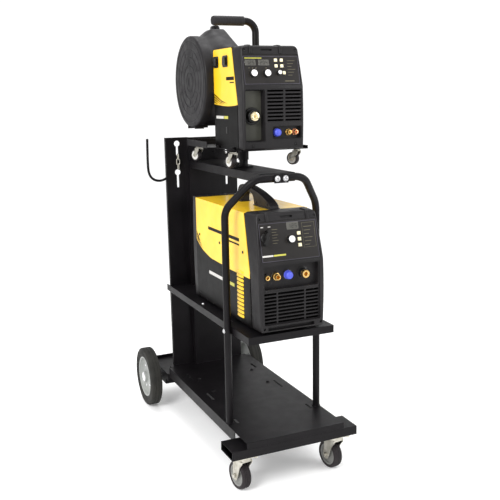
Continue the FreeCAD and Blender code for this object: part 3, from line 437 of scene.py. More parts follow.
print_ink = coated("print_ink", (0.46, 0.45, 0.43), (0.56, 0.54, 0.51), 0.40, 0.50, 900, 0.00002)
dim_ink = coated("dim_ink", (0.10, 0.088, 0.050), (0.14, 0.122, 0.072), 0.40, 0.50, 900, 0.00002)
yellow_ink = coated("yellow_ink", (0.42, 0.40, 0.05), (0.50, 0.47, 0.07), 0.40, 0.50, 900, 0.00002)
chalk_white = coated("wheel_web", (0.50, 0.49, 0.47), (0.60, 0.59, 0.56), 0.40, 0.50, 900, 0.00004)
alloy = coated("extruded_aluminium", (0.55, 0.55, 0.56), (0.70, 0.70, 0.71), 0.30, 0.45, 300,
               0.00006, metallic=1.0, cloud=30)

back_plate = coated("recess_plate", (0.036, 0.036, 0.028), (0.055, 0.055, 0.044), 0.40, 0.55, 900,
                    0.00006, specular=0.3)


# --------------------------------------------------------------- camera and studio

def make_camera():
    data = bpy.data.cameras.new("camera")
    data.lens = 55.2
    data.sensor_width = 36.0
    camera = bpy.data.objects.new("camera", data)
    bpy.context.collection.objects.link(camera)
    yaw, pitch, roll = 0.4212, -0.1985, -0.0183
    forward = Vector((sin(yaw) * cos(pitch), cos(yaw) * cos(pitch),
                      sin(pitch)))
    level = Vector((cos(yaw), -sin(yaw), 0))
    upright = level.cross(forward)
    right = level * cos(roll) + upright * sin(roll)
    up = right.cross(forward)
    place = Matrix((right, up, -forward)).transposed().to_4x4()
    place.translation = Vector((-1128.8, FRONT - 2158.3, 1319.6)) / 1000
    camera.matrix_world = place
    bpy.context.scene.camera = camera


def area_light(name, place, target, size, power):
    data = bpy.data.lights.new(name, "AREA")
    data.shape = "RECTANGLE"
    data.size, data.size_y = size
    data.energy = power
    light = bpy.data.objects.new(name, data)
    bpy.context.collection.objects.link(light)
    light.location = place
    light.rotation_euler = (Vector(target) - Vector(place)).to_track_quat("-Z", "Y").to_euler()


def make_studio():
    """A pale sheet that is flat around the object and curves up far behind it."""
    reach, bend, height = 9.0, 2.5, 12.0
    profile = [(-14.0, 0.0), (reach - bend, 0.0)]
    for step in range(1, 13):
        a = pi / 2 * step / 12
        profile.append((reach - bend + bend * sin(a), bend - bend * cos(a)))
    profile.append((reach, height))
    bm = bmesh.new()
    rings = [[bm.verts.new((x, y, z)) for x in (-22.0, 22.0)] for y, z in profile]
    for low, high in zip(rings, rings[1:]):
        bm.faces.new((low[0], low[1], high[1], high[0])).smooth = True
    mesh = bpy.data.meshes.new("floor")
    bm.to_mesh(mesh)
    bm.free()
    floor = bpy.data.objects.new("floor", mesh)
    floor.rotation_euler = (0, 0, -0.42)
    material, tree, shader = new_material("floor", 0.7, specular=0.1)
    tree.links.new(mixed(tree, mapped(tree, noise(tree, 2.0), 0, 1), (0.90, 0.90, 0.90),
                         (0.92, 0.92, 0.92)), shader.inputs["Base Color"])
    settings(shader, Emission_Color=(1, 1, 1, 1), Emission_Strength=0.16)
    mesh.materials.append(material)
    bpy.context.collection.objects.link(floor)
    world = bpy.data.worlds.new("studio")
    world.use_nodes = True
    settings(world.node_tree.nodes["Background"], Color=(1, 1, 1, 1), Strength=0.85)
    bpy.context.scene.world = world
    middle = (0, 0, 0.8)
    area_light("key", (-2.6, -1.9, 2.6), middle, (1.4, 1.4), 110)
    area_light("fill", (2.4, -2.4, 1.8), middle, (1.6, 1.6), 40)
    area_light("top", (0.2, 0.2, 3.6), middle, (2.2, 2.2), 60)
    bpy.context.scene.view_settings.view_transform = "Standard"


def span(node):
    """Lowest and highest corner of a CAD node, in millimetres and setbacks."""
    return [Vector((p.x * 1000, p.y * 1000 - FRONT, p.z * 1000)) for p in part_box(node)]


def centre_of(node):
    low, high = span(node)
    return (low + high) / 2


# ------------------------------------------------------------------ running gear

def mirrored(profile):
    """A closed wheel section from the half of it that has distances above zero."""
    other = [(radius, -along) for radius, along in reversed(profile)]
    return profile + other + profile[:1]


def wheel_tyre(side):
    """Solid tyre: crowned tread with two grooves, and stepped sidewalls."""
    node = side + "_wheel_tyre"
    section = [(125, 3.6), (125, 5.0), (123.2, 5.8), (123.2, 7.6), (125, 8.4), (125, 14.5), (124.4, 17.5),
               (122.6, 20.4), (120, 22.2), (116, 23.3), (112, 23.9), (103, 24), (102, 23.2), (99, 23.2),
               (98, 23.8), (93, 23.2), (89, 21.8), (86.2, 20)]
    bm = bmesh.new()
    turned(bm, mirrored(section), centre_of(node), (1, 0, 0), 96)
    piece(side + "_tyre", bm, tyre_rubber, side + "_wheel", [node])


def wheel_rim(side):
    """Pressed rim with a dished face, roller hub and domed chrome cap."""
    node = side + "_wheel_rim"
    out = -1 if side == "left" else 1
    centre = centre_of(side + "_wheel_tyre")
    section = [(10.1, 23), (22, 23), (24, 21.5), (24, 14.5), (27, 12.5), (34, 11.5), (62, 5.5), (70, 4.6),
               (75, 6.5), (78.6, 12), (80, 18), (83, 20), (86, 20), (86, -20), (83, -20), (80, -18),
               (78.6, -12), (75, 0.5), (70, 1.6), (62, 2.5), (34, 8), (27, 8), (24, 6), (24, -21.5),
               (22, -23), (10.1, -23), (10.1, 23)]
    bm = bmesh.new()
    turned(bm, section, centre, (out, 0, 0), 72)
    piece(side + "_rim", bm, rim_paint, side + "_wheel", [node])
    cap = [(19.6, 23.1), (20, 24), (19.2, 25.2), (17.2, 26), (15.5, 25.6), (14.5, 25.7), (12.6, 26.9),
           (8, 27.8), (0, 28)]
    bm = bmesh.new()
    turned(bm, cap, centre, (out, 0, 0), 40)
    for n in range(5):
        a = 2 * pi * n / 5
        seat = centre + Vector((out * 9.5, 48 * cos(a), 48 * sin(a)))
        turned(bm, [(5, -1.5), (5, 0.2), (4, 1.2), (0, 1.5)], seat, (out, 0, 0), 16)
    piece(side + "_hub_cap", bm, chrome, side + "_wheel")


def castor_turn(side):
    """Turn about Z of a castor at rest, read from its roll axis."""
    for joint in frame["joints"]:
        if joint["name"] == side + "_castor_roll":
            return atan2(joint["axis"][1], joint["axis"][0])
    return 0.0


def castor_place(side):
    """Matrix that carries a castor drawn about its king pin to its place and turn."""
    plate = centre_of("castor_plates")
    x = span("castor_plates")[0].x + 37
    x = x if side == "left" else -x
    return Matrix.Translation((x, plate.y, 0)) @ Matrix.Rotation(
        pi + castor_turn(side), 4, "Z")


def castor_wheel(side):
    """Ridged rubber tread on a grey hub with a stepped face."""
    trail, radius = -24.0, 50.0
    centre = Vector((0, trail, radius))
    tread = [(38, 15.5), (41, 16.6), (44.5, 17), (46.8, 16.2), (48.6, 14), (49.6, 11.2), (50, 9.4),
             (48.7, 8.7), (48.7, 7.6), (50, 6.9), (50, 3.5), (48.7, 2.8), (48.7, 1.6), (50, 0.9)]
    bm = bmesh.new()
    turned(bm, mirrored(tread), centre, (1, 0, 0), 72)
    moved(bm, castor_place(side))
    body = side + "_castor_roller"
    piece(side + "_castor_tread", bm, castor_rubber, body, [side + "_castor_wheel"])
    hub = [(5.1, 15), (11.5, 15), (12.4, 14), (12.6, 9.6), (15, 8.6), (27, 8.2), (31, 9), (33, 13.4),
           (34.6, 14.8), (37.9, 15.2)]
    bm = bmesh.new()
    turned(bm, mirrored(hub), centre, (1, 0, 0), 48)
    moved(bm, castor_place(side))
    piece(side + "_castor_hub", bm, hub_plastic, body)


def castor_fork(side):
    """Pressed fork with a ball race, two shaped legs and the wheel bolt."""
    trail, top = -24.0, 127.7
    bm = bmesh.new()
    race = [(6.1, 0), (24, 0), (28, -1), (29, -4), (29, -8.5), (26.5, -11), (22, -12), (6.1, -12), (6.1, 0)]
    turned(bm, race, (0, 0, top), (0, 0, 1), 40)
    bridge = rounded([(-22, -30), (22, -30), (24, -8), (22, 22), (-22, 22), (-24, -8)], 7, 4)
    slab(bm, bridge, "top", top - 16, top - 11.5)
    leg = rounded([(22, top - 11), (23, top - 20), (8, top - 38), (-9, 46), (-16, 34), (-32, 34),
                   (-39, 46), (-36, 66), (-33, top - 24), (-32, top - 11)],
                  [2, 8, 26, 20, 9, 9, 9, 40, 8, 2], 5)
    for sign in (-1, 1):
        low, high = sorted((sign * 18.6, sign * 21.5))
        slab(bm, leg, "side", low, high)
        bolt = [(0, 29), (6, 29), (6.9, 28), (6.9, 22.6), (9, 22.4), (9, 21.4), (5, 21.4), (5, 17.4)]
        turned(bm, bolt, (0, trail, 50), (sign, 0, 0), 24, shape=hexagonal((1, 2, 3)))
    shaft = [(0, -21), (5, -21), (5, 21), (0, 21)]
    turned(bm, shaft, (0, trail, 50), (1, 0, 0), 20)
    moved(bm, castor_place(side))
    piece(side + "_fork", bm, zinc, side + "_castor", [side + "_castor_fork"],
          edge=0.7, angle=50)


def castor_plates():
    """Top plates with their four bolts each, over a pressed upper race."""
    bm = bmesh.new()
    centre = centre_of("castor_plates")
    x_pin = span("castor_plates")[1].x - 37
    top = span("castor_plates")[1].z
    for sign in (-1, 1):
        x = sign * x_pin
        plate = rectangle(x - 37, x + 37, centre.y - 47, centre.y + 47, 7)
        slab(bm, plate, "top", top - 3.6, top)
        race = [(0, -12), (26, -12), (29, -10.5), (29, -6), (27, -4.5), (22, -3.4), (0, -3.4)]
        turned(bm, race, (x, centre.y, top), (0, 0, 1), 40)
        turned(bm, [(0, -32), (5.4, -32), (6, -31), (6, -12)], (x, centre.y, top), (0, 0, 1), 20)
        for u in (-29, 29):
            for v in (-38, 38):
                head = [(0, -9), (5.6, -9), (6.4, -8.4), (6.4, -3.6), (0, -3.6)]
                turned(bm, head, (x + u, centre.y + v, top), (0, 0, 1), 6)
    piece("castor_top_plates", bm, zinc, "trolley", ["castor_plates"], edge=0.5, angle=50)


# ---------------------------------------------------------------------- trolley

def button_head(bm, seat, axis, radius=8.0, height=4.6):
    """Domed bolt head with a hexagon socket, on a thin washer."""
    section = [(radius * 1.25, 0), (radius * 1.25, 1.0), (radius, 1.0), (radius * 0.97, 1.9),
               (radius * 0.84, 3.4), (radius * 0.62, height), (radius * 0.34, height),
               (radius * 0.32, height - 2.6), (0, height - 2.8)]
    turned(bm, section, seat, axis, 24, shape=hexagonal((6, 7)))


def trolley_bolts():
    bm = bmesh.new()
    arm = span("top_arm")
    shelf_top = span("power_source_shelf")[1].z
    deck_top = span("deck_plate")[1].z
    leg_x = span("front_loop_tube")[1].x
    dark = bmesh.new()
    for sign in (-1, 1):
        button_head(bm, (sign * 15, arm[0].y, arm[1].z - 15), (0, -1, 0))
        button_head(bm, (sign * leg_x, 176, shelf_top - 13), (sign, 0, 0), 6.5, 4.2)
        button_head(bm, (sign * 139, 495, shelf_top), (0, 0, 1), 6.5, 4.2)
        button_head(bm, (sign * 139, 232, shelf_top), (0, 0, 1), 6.5, 4.2)
        for y in (473, 627):
            button_head(dark, (sign * 117, y, deck_top), (0, 0, 1), 6.5, 4.2)
        for z in (1100, 600):
            button_head(dark, (sign * 42, 803, z), (0, -1, 0), 6.5, 4.2)
    piece("bright_bolts", bm, steel, "trolley", ["trolley_fasteners"])
    piece("dark_bolts", dark, powder, "trolley")


def hook():
    """Bent rod that springs from the column's edge and rises beside it."""
    y = span("cable_hook")[0].y + 5
    line = smooth_line([(-154, y, 996), (-170, y, 989), (-187, y, 987), (-206, y, 992), (-221, y, 1005),
                        (-229, y, 1026), (-231, y, 1060), (-230.5, y, 1110), (-229.5, y, 1155)], 6)
    bm = bmesh.new()
    swept(bm, line, circle(0, 0, 5, 20), (0, 1, 0))
    turned(bm, [(5, -0.5), (4.6, 1.6), (3, 2.6), (0, 3)], line[-1], (0, 0, 1), 20)
    piece("hook_rod", bm, powder, "trolley", ["cable_hook"])


def trolley_welds():
    """Weld beads along the joints of the trolley."""
    bm = bmesh.new()
    leg_x = span("front_loop_tube")[1].x - 12.7
    deck_top = span("deck_plate")[1].z
    for sign in (-1, 1):
        ring = [Vector((sign * leg_x + 13.6 * cos(a), 176 + 13.6 * sin(a), deck_top + 1.2))
                for a in [2 * pi * n / 40 for n in range(40)]]
        swept(bm, ring, circle(0, 0, 2.0, 8), (0, 0, 1), closed=True)
        seam = [Vector((sign * x, 828.6, deck_top + 1)) for x in range(68, 156, 4)]
        swept(bm, seam, circle(0, 0, 1.8, 8), (0, 0, 1))
    seam = [Vector((x, 802.8, deck_top + 1)) for x in range(-64, 65, 4)]
    swept(bm, seam, circle(0, 0, 1.8, 8), (0, 0, 1))
    for vertex in bm.verts:
        vertex.co += Vector([RANDOM.uniform(-0.25, 0.25) for _ in range(3)])
    piece("weld_beads", bm, powder, "trolley")


# ------------------------------------------------------------- moulded front bezels

def between(pairs, z):
    """Straight-line value at a height from (z, value) pairs."""
    for (z0, a), (z1, b) in zip(pairs, pairs[1:]):
        if z <= z1:
            return a + (b - a) * (z - z0) / (z1 - z0)
    (z0, a), (z1, b) = pairs[-2:]
    return b + (b - a) * (z - z1) / (z1 - z0)


def bowed(low, middle, high, z):
    """Half width of a side that bows outwards, through three (z, half width) pairs."""
    (z0, a), (z1, b), (z2, c) = low, middle, high
    return (a * (z - z1) * (z - z2) / ((z0 - z1) * (z0 - z2))
            + b * (z - z0) * (z - z2) / ((z1 - z0) * (z1 - z2))
            + c * (z - z0) * (z - z1) / ((z2 - z0) * (z2 - z1)))


def bezel_body(form, inset=0.0, front_inset=0.0, extra=0.0, ease=7.0):
    """Solid with bowed sides, a two-slope front and a shaped back; inset makes its hollow."""
    z_low, z_high = form["z"][0] + inset, form["z"][1] - inset
    front_kink = form["front"][1][0]
    back_kink = form["back"][1][0]
    count = 9
    heights = [z_low + (z_high - z_low) * n / count for n in range(count + 1)]
    heights = [z for z in heights if min(abs(z - front_kink), abs(z - back_kink)) > 8]
    heights = sorted(heights + [front_kink, back_kink])
    sides = [(bowed(*form["half"], z) - inset, z) for z in heights]
    corners = ([(form["x"] - half, z) for half, z in sides]
               + [(form["x"] + half, z) for half, z in reversed(sides)])
    radii = [0.0] * len(corners)
    radii[0] = radii[-1] = max(form["low_radius"] - inset, 2)
    radii[len(sides) - 1] = radii[len(sides)] = max(form["high_radius"] - inset, 2)
    outline = rounded(corners, radii, 5)
    bm = bmesh.new()
    front = [bm.verts.new((p.x, between(form["front"], p.y) + front_inset, p.y)) for p in outline]
    back = []
    for p in outline:
        flare = (form["skirt"] - inset) / (bowed(*form["half"], p.y) - inset)
        x = form["x"] + (p.x - form["x"]) * flare
        back.append(bm.verts.new((x, between(form["back"], p.y) + extra, p.y)))
    for ring, kink in ((front, front_kink), (back, back_kink)):
        for keep in (lambda v: v.co.z <= kink + 1e-4, lambda v: v.co.z >= kink - 1e-4):
            bm.faces.new([v for v in ring if keep(v)])
    count = len(outline)
    for n in range(count):
        m = (n + 1) % count
        bm.faces.new((front[n], front[m], back[m], back[n]))
    bmesh.ops.recalc_face_normals(bm, faces=bm.faces)
    if ease:
        rim = [bm.edges.get((front[n], front[(n + 1) % count])) for n in range(count)]
        bmesh.ops.bevel(bm, geom=rim, offset=ease, segments=4, profile=0.5, affect="EDGES")
    return bm


def grille(bm, columns, first, pitch, rows, height, front, back):
    """Cutters for rows of slots in a few columns."""
    for row in range(rows):
        z = first + pitch * row
        for x0, x1 in columns:
            slab(bm, rectangle(x0, x1, z - height / 2, z + height / 2, height * 0.3, 2), "front",
                 front, back)


# Outlines of the two bezels: half width where the back edge meets the case, middle, height and corner
# radii, then (z, value) pairs for half width and for the setback of the front and the back.
SOURCE = {"skirt": 119.0, "x": 0.0, "z": (555.0, 944.0), "low_radius": 7.0, "high_radius": 16.0,
          "half": ((555, 115), (735, 121), (944, 109)),
          "front": ((555, 20.0), (783, 26.0), (944, 66.1)),
          "back": ((555, 86.0), (740, 98.0), (944, 140.0))}
FEEDER = {"skirt": 117.5, "x": 55.0, "z": (1134.0, 1488.0), "low_radius": 9.0, "high_radius": 18.0,
          "half": ((1134, 116), (1290, 118), (1488, 108)),
          "front": ((1134, 260.0), (1350, 260.0), (1488, 289.3)),
          "back": ((1134, 299.5), (1285, 301.5), (1488, 345.0))}


def shoulder_ribs(bm, form, xs):
    """Two rounded ribs that run up over the bezel's top edge."""
    top = form["z"][1]
    face = between(form["front"], top - 12)
    for x in xs:
        path = [(x, face + along, top + rise) for along, rise in
                ((-4.5, -26), (-2.2, -13), (3, -3), (12, 0.4), (40, 1.2))]
        section = rounded([(-5, -4), (5, -4), (5, 2.4), (-5, 2.4)], 2, 3)
        swept(bm, smooth_line(path, 4), section, (0, -0.2, 1))


def source_bezel():
    bm = bezel_body(SOURCE)
    bm = combined(bm, bezel_body(SOURCE, inset=5, front_inset=15, extra=40, ease=0))
    bm = combined(bm, slabs(((-104, 104, 579, 778, 5, 0, 29), (-92, 80, 561, 573, 3, 0, 33))))
    bm = combined(bm, slabs(((-103, 103, 693, 779, 7, 27, 50),)), "UNION")
    holes = slabs(((-100, 100, 697, 775, 6, 0, 46),))
    grille(holes, ((-101, -56), (-51, 47), (52, 101)), 585.4, 12, 9, 7.8, 26, 60)
    upper = slabs(((-109, 109, 788, 923, 9, 10, 28.4), (-24, 20, 930, 938, 3, 10, 32)))
    for x in (-101, 101):
        slab(upper, circle(x, 931, 4.6, 20), "front", 10, 33)
        slab(holes, circle(x * 1.04, 568, 4.6, 20), "front", 0, 30)
    bm = combined(bm, holes)
    bm = combined(bm, leaned(upper, SOURCE_BREAK))
    shoulder_ribs(bm, SOURCE, (-74, 74))
    piece("source_bezel", bm, plastic, "trolley", ["source_front_bezel"],
          edge=0.7, angle=40)
    # Near-black sheets just behind the grille slots and the low slot: painted shade that makes the openings
    # look dark inside.
    grille_shade_sheet = slabs(((-105, 105, 576, 690, 4, 47, 50), (-96, 84, 560.2, 575, 2, 37, 39)))
    piece("source_dust_filter", grille_shade_sheet, painted_inner_shade, "trolley")


def screw(bm, seat, axis, radius=4.2):
    """Sunk pan-head screw with a cross recess."""
    section = [(radius, 0), (radius, 1.2), (radius * 0.86, 2.1), (radius * 0.45, 2.5), (0, 2.5)]
    turned(bm, section, seat, axis, 16)
    axis = Vector(axis).normalized()
    spin = axis.to_track_quat("Z", "Y").to_matrix().to_4x4()
    cross = bmesh.new()
    for a in (0, pi / 2):
        faces = slab(cross, rectangle(-radius * 0.55, radius * 0.55, -radius * 0.1, radius * 0.1),
                     "top", 2.45, 2.75)
        verts = {v for f in faces for v in f.verts}
        bmesh.ops.transform(cross, verts=list(verts), matrix=Matrix.Rotation(a, 4, "Z"))
    moved(cross, Matrix.Translation(seat) @ spin)
    mesh = bpy.data.meshes.new("cross")
    cross.to_mesh(mesh)
    cross.free()
    bm.from_mesh(mesh)
    bpy.data.meshes.remove(mesh)


def bezel_screws():
    low, top = bmesh.new(), bmesh.new()
    for side in (-1, 1):
        screw(low, (side * 105, 27.5, 568), TOWARDS)
        screw(top, (side * 101, 31, 931), TOWARDS)
    piece("source_bezel_screws", low, knob_black, "trolley")
    piece("source_top_screws", leaned(top, SOURCE_BREAK), knob_black, "trolley")


def outline_bars(bm, x0, x1, z0, z1, width, front, depth):
    """A frame: four thin bars around a rectangle."""
    for left, right, low, high in ((x0, x1, z0, z0 + width), (x0, x1, z1 - width, z1),
                                   (x0, x0 + width, z0 + width, z1 - width),
                                   (x1 - width, x1, z0 + width, z1 - width)):
        block(bm, left, right, front - depth, front, low, high)


def scale_ticks(bm, x, z, radius, count, length, front, reach=270):
    """Tick marks around a dial."""
    for n in range(count):
        a = radians(90 + reach / 2 - reach * n / (count - 1))
        mark = rectangle(radius, radius + length, -0.35, 0.35)
        c, s = cos(a), sin(a)
        mark = [Vector((x + p.x * c - p.y * s, z + p.x * s + p.y * c)) for p in mark]
        slab(bm, mark, "front", front - INK, front)


def seven_segment(bm, x, z, height, digit, front):
    """One dark digit of a display: only the bars that are lit."""
    w, h, t = height * 0.5, height, height * 0.13
    bars = {"a": (0, h, w, h), "d": (0, 0, w, 0), "g": (0, h / 2, w, h / 2), "f": (0, h / 2, 0, h),
            "e": (0, 0, 0, h / 2), "b": (w, h / 2, w, h), "c": (w, 0, w, h / 2)}
    lit = {"0": "abcdef", "1": "bc", "2": "abged", "4": "fgbc", "5": "afgcd"}[digit]
    for name in lit:
        x0, z0, x1, z1 = bars[name]
        block(bm, x + x0 - t / 2, x + x1 + t / 2, front - 0.12, front, z + z0 - t / 2, z + z1 + t / 2)


def panel_film(unit, body, place, sheet, dials, caps):
    """Film over a tilted face, with holes for its dials and keys."""
    face, z0 = place[:2]
    bm = slabs(((*sheet, face + FILM_FACE, face + 2.3),))
    holes = slabs([(x - half, x + half, z0 + s - half, z0 + s + half, 1.5, face - 5, face + 9)
                   for x, s, half in caps])
    for x, s, reach in dials:
        slab(holes, circle(x, z0 + s, reach, 24), "front", face - 5, face + 9)
    piece(unit + "_film", leaned(combined(bm, holes), place), film, body,
          [unit + "_control_panel"], edge=0.3)


def displays(unit, body, place, windows, numbers, pitch, height):
    """Display windows and the dark digits on them."""
    front, z0 = place[0] + FILM_FACE, place[1]
    bm = slabs([(x0, x1, z0 + low, z0 + high, radius, front - 0.8, front)
                for x0, x1, low, high, radius in windows])
    piece(unit + "_display", leaned(bm, place), window, body, edge=0.3)
    bm = bmesh.new()
    for x, s, digits in numbers:
        for n, digit in enumerate(digits):
            seven_segment(bm, x + n * pitch, z0 + s, height, digit, front - 0.8)
    piece(unit + "_digits", leaned(bm, place), knob_black, body)


def panel_flap(unit, body, place, x0, x1, low, high):
    """Raised edge of the clear flap over a panel; its light violet colour is a painted highlight for the
    flap's gloss.
    """
    bm = bmesh.new()
    outline_bars(bm, x0, x1, place[1] + low, place[1] + high, 1.3, place[0] + FILM_FACE, 0.8)
    piece(unit + "_flap", leaned(bm, place), flap_edge_painted_sheen, body)


def printed(name, body, place, ink, rows, bm=None):
    """Printed bars on a panel, each x0, x1, low, high above the break, added to what bm holds."""
    bm = bm or bmesh.new()
    front, z0 = place[0] + FILM_FACE, place[1]
    for x0, x1, low, high in rows:
        block(bm, x0, x1, front - INK, front, z0 + low, z0 + high)
    piece(name, leaned(bm, place), ink, body)


def source_panel():
    """Film panel with a display, the flap's edge in a painted-highlight colour, printed scales and plain
    stripes.
    """
    front, z0 = SOURCE_BREAK[0] + FILM_FACE, SOURCE_BREAK[1]
    unit, body = "source", "trolley"
    panel_film(unit, body, SOURCE_BREAK, (-107.5, 107.5, 789.5, 921.5, 8),
               ((-88, 86.6, 7), (5, 75, 5)), [(37, s, 6) for s in (54, 73.5, 93)])
    displays(unit, body, SOURCE_BREAK, ((-5, 39, 107, 132, 2.5),), ((2.5, 113, "125"),), 12, 12)
    panel_flap(unit, body, SOURCE_BREAK, -105, 105, 8, 133)
    printed("source_print", body, SOURCE_BREAK, print_ink,
            ((-98, -89, 120, 123), (-72, -63, 120, 123), (-103, -64, 24, 29.5)))
    bm = bmesh.new()
    scale_ticks(bm, 5, z0 + 75, 15.5, 11, 2.6, front)
    outline_bars(bm, 52, 98, z0 + 44, z0 + 126, 0.6, front, INK)
    rows = [(57, 75 + 6 * (n % 3), 52 + 12 * n, 53.4 + 12 * n) for n in range(6)]
    rows += [(-60, -44 + 5 * (n % 2), 66 + 9 * n, 67.2 + 9 * n) for n in range(6)]
    printed("source_scale", body, SOURCE_BREAK, dim_ink, rows, bm)
    printed("source_stripe", body, SOURCE_BREAK, yellow_ink, ((-62, -18, 24, 29.5),))


def knob(name, node, x, s, r, place, body):
    """Fluted black skirt with a pale domed cap and a pointer line."""
    face = place[0]
    z = place[1] + s
    seat = Vector((x, face - 0.5, z))
    bm = bmesh.new()
    skirt = [(r * 0.4, 0), (r, 0), (r, 1.6), (r * 0.97, 3.0), (r * 0.95, 3.6), (r * 0.94, 9),
             (r * 0.93, 10.2), (r * 0.88, 10.8), (r * 0.80, 10.8)]
    turned(bm, skirt, seat, TOWARDS, 72, 0, fluted(24, 0.06, (4, 5)))
    cap = [(r * 0.86, 10.6), (r * 0.85, 11.4), (r * 0.78, 12.2), (r * 0.5, 12.6), (0, 12.7)]
    turned(bm, cap, seat, TOWARDS, 40, 1)
    block(bm, x - 0.5, x + 0.5, face - 13.5, face - 12.9, z + r * 0.25, z + r * 0.74, 0)
    shaft = [(0, -12), (r * 0.34, -12), (r * 0.34, 0.2)]
    turned(bm, shaft, seat, TOWARDS, 20)
    piece(name, leaned(bm, place), [knob_black, white_cap], body, [node])


def main_switch():
    """S-shaped grip on a round skirt."""
    face, z = SOURCE_BREAK[0], SOURCE_BREAK[1] + 86.6
    bm = bmesh.new()
    skirt = [(0, -10), (6.9, -10), (6.9, 0), (13.5, 0), (15, 0.5), (15, 3.2), (13.6, 5), (10, 6), (0, 6.2)]
    turned(bm, skirt, (-88, face - 0.5, z), (0, -1, 0), 48)
    half = [(3.2, 25), (7.5, 20), (6.5, 14), (1.5, 8)]
    spine = half + [(0, 0)] + [(-u, -v) for u, v in reversed(half)]
    line = smooth_line([Vector((-88 + u, 0, z + v)) for u, v in spine], 5)
    outline = []
    for sign in (1, -1):
        walk = line if sign > 0 else line[::-1]
        for a, b in zip(walk, walk[1:]):
            along = (b - a).normalized()
            outline.append(Vector((a.x + along.z * 4.6, a.z - along.x * 4.6)))
    slab(bm, outline, "front", face - 24, face - 5)
    piece("switch_grip", leaned(bm, SOURCE_BREAK), knob_black, "main_switch",
          ["power_switch"], edge=1.6, segments=3, angle=50)


def keys():
    for unit, count in (("source", 3), ("feeder", 4)):
        for number in range(1, count + 1):
            eased_node("%s_key_%d" % (unit, number), cream, 0.7, name="%s_key_cap_%d" % (unit, number))


def weld_socket(bm, x, z, floor, radius, length, bore, ring_paint, core_paint):
    """Panel socket: insulating ring, stepped metal collar and bored core."""
    seat = Vector((x, floor, z))
    ring = [(radius * 0.8, -1), (radius, -1), (radius, length * 0.45), (radius * 0.94, length * 0.52),
            (radius * 0.78, length * 0.55)]
    turned(bm, ring, seat, TOWARDS, 40, ring_paint, fluted(12, 0.05, (2, 3)))
    core = [(radius * 0.8, length * 0.5), (radius * 0.76, length * 0.92), (radius * 0.70, length),
            (bore * 1.18, length), (bore, length - 1), (bore, 2), (0, 2)]
    turned(bm, core, seat, TOWARDS, 40, core_paint)


def source_sockets():
    """A small union, two weld sockets of unlike size and a capped control socket, in one row."""
    z, floor = 738, 46
    bm = bmesh.new()
    weld_socket(bm, -89, z, floor, 11, 22, 4.5, 0, 1)
    weld_socket(bm, -53, z, floor, 13, 25, 6.5, 1, 1)
    weld_socket(bm, 50, z, floor, 18, 25, 6.5, 0, 1)
    cap = [(15, -1), (15, 4), (13.4, 5), (13.4, 16), (12.6, 18), (10, 20.4), (5.5, 22), (0, 22.4)]
    turned(bm, cap, (-7, floor, z), TOWARDS, 48, 2, fluted(16, 0.06, (3, 4)))
    for x, r in ((-89, 12.5), (-53, 16), (-7, 18), (50, 21)):
        flange = [(r * 0.7, -0.1), (r, -0.1), (r, 1.4), (r * 0.95, 2), (r * 0.7, 2)]
        turned(bm, flange, (x, floor, z), TOWARDS, 6 if r < 17 else 40, 0)
    piece("source_sockets", bm, [knob_black, brass, blue_cap], "trolley",
          ["output_sockets"])


# --------------------------------------------------------------- power source case

def side_film(bm, outline, x, out, thickness=0.35):
    low, high = sorted((x, x + out * thickness))
    slab(bm, outline, "side", low, high)


def side_marks(name, material, body, x, out, rows, thickness=INK):
    """Printed bars on an upright side, each given as a rectangle in setback and z."""
    bm = bmesh.new()
    for row in rows:
        side_film(bm, rectangle(*row), x, out, thickness)
    piece(name, bm, material, body)


def wave_line(points):
    """A smooth (setback, z) edge through a few points."""
    return [Vector((p.x, p.y)) for p in smooth_line([(u, v, 0) for u, v in points], 5)]


def source_cover():
    """Yellow sheet cover; black film over its lower side with torn streaks behind."""
    eased_node("source_cover", [yellow, black_film], 0.5, paint=lambda face: int(
        face.calc_center_median().z < 0.68 and abs(face.normal.x) < 0.5))
    x_side = span("source_cover")[1].x
    wave = wave_line(((97.6, 724), (180, 724), (272, 724), (346, 727), (410, 729), (453, 731),
                      (525, 746), (560, 760), (595.6, 779)))
    outline = [Vector((88.4, 557.2))] + wave + [Vector((595.6, 557.2))]
    for out, side in ((-1, "left"), (1, "right")):
        bm = bmesh.new()
        side_film(bm, outline, out * x_side, out)
        for n in range(4):
            streak = [(592, 781 + 9 * n), (592, 786 + 9 * n), (560 + 7 * n, 768 + 11 * n),
                      (528 + 12 * n, 752 + 12 * n), (556 + 8 * n, 763 + 10 * n)]
            side_film(bm, [Vector(p) for p in streak], out * x_side, out)
        side_film(bm, rectangle(182, 470, 836, 848, 2), out * x_side, out)
        side_film(bm, rectangle(182, 300, 822, 828, 1), out * x_side, out)
        piece("source_%s_film" % side, bm, black_film, "trolley")
        for word, ink, start, end in (("mark", print_ink, 330, 470), ("stripe", yellow_ink, 230, 326)):
            side_marks("source_%s_%s" % (side, word), ink, "trolley", out * (x_side + 0.35), out,
                       [(start, end, 668, 680, 1)])
        source_louvres(side, out, x_side)
        bm = bmesh.new()
        for y, z in ((562, 803), (360, 803), (153, 805), (570, 575), (330, 575)):
            screw(bm, (out * x_side, y, z), (out, 0, 0), 5)
        piece("source_%s_screws" % side, bm, knob_black, "trolley")


def source_louvres(side, out, x_side):
    """Pressed louvre hoods, open along their lower edge."""
    bm = bmesh.new()
    for row in range(12):
        z = 575 + 14 * row
        rings = []
        for u in range(9):
            y = 150 + 58 * u / 8
            swell = sin(pi * u / 8) ** 0.35
            rings.append([bm.verts.new((out * (x_side + d * swell), y, z + h))
                          for d, h in ((0.2, 9.4), (1.6, 8.6), (4.4, 5.0), (5.0, 1.2), (4.4, 0.4),
                                       (3.6, 1.2), (3.0, 4.2), (0.4, 8.0))])
        for low, high in zip(rings, rings[1:]):
            for n in range(len(low)):
                m = (n + 1) % len(low)
                bm.faces.new((low[n], low[m], high[m], high[n]))
        for ring in (rings[0], rings[-1]):
            bm.faces.new(ring)
    bmesh.ops.recalc_face_normals(bm, faces=bm.faces)
    piece("source_%s_louvres" % side, bm, yellow, "trolley")


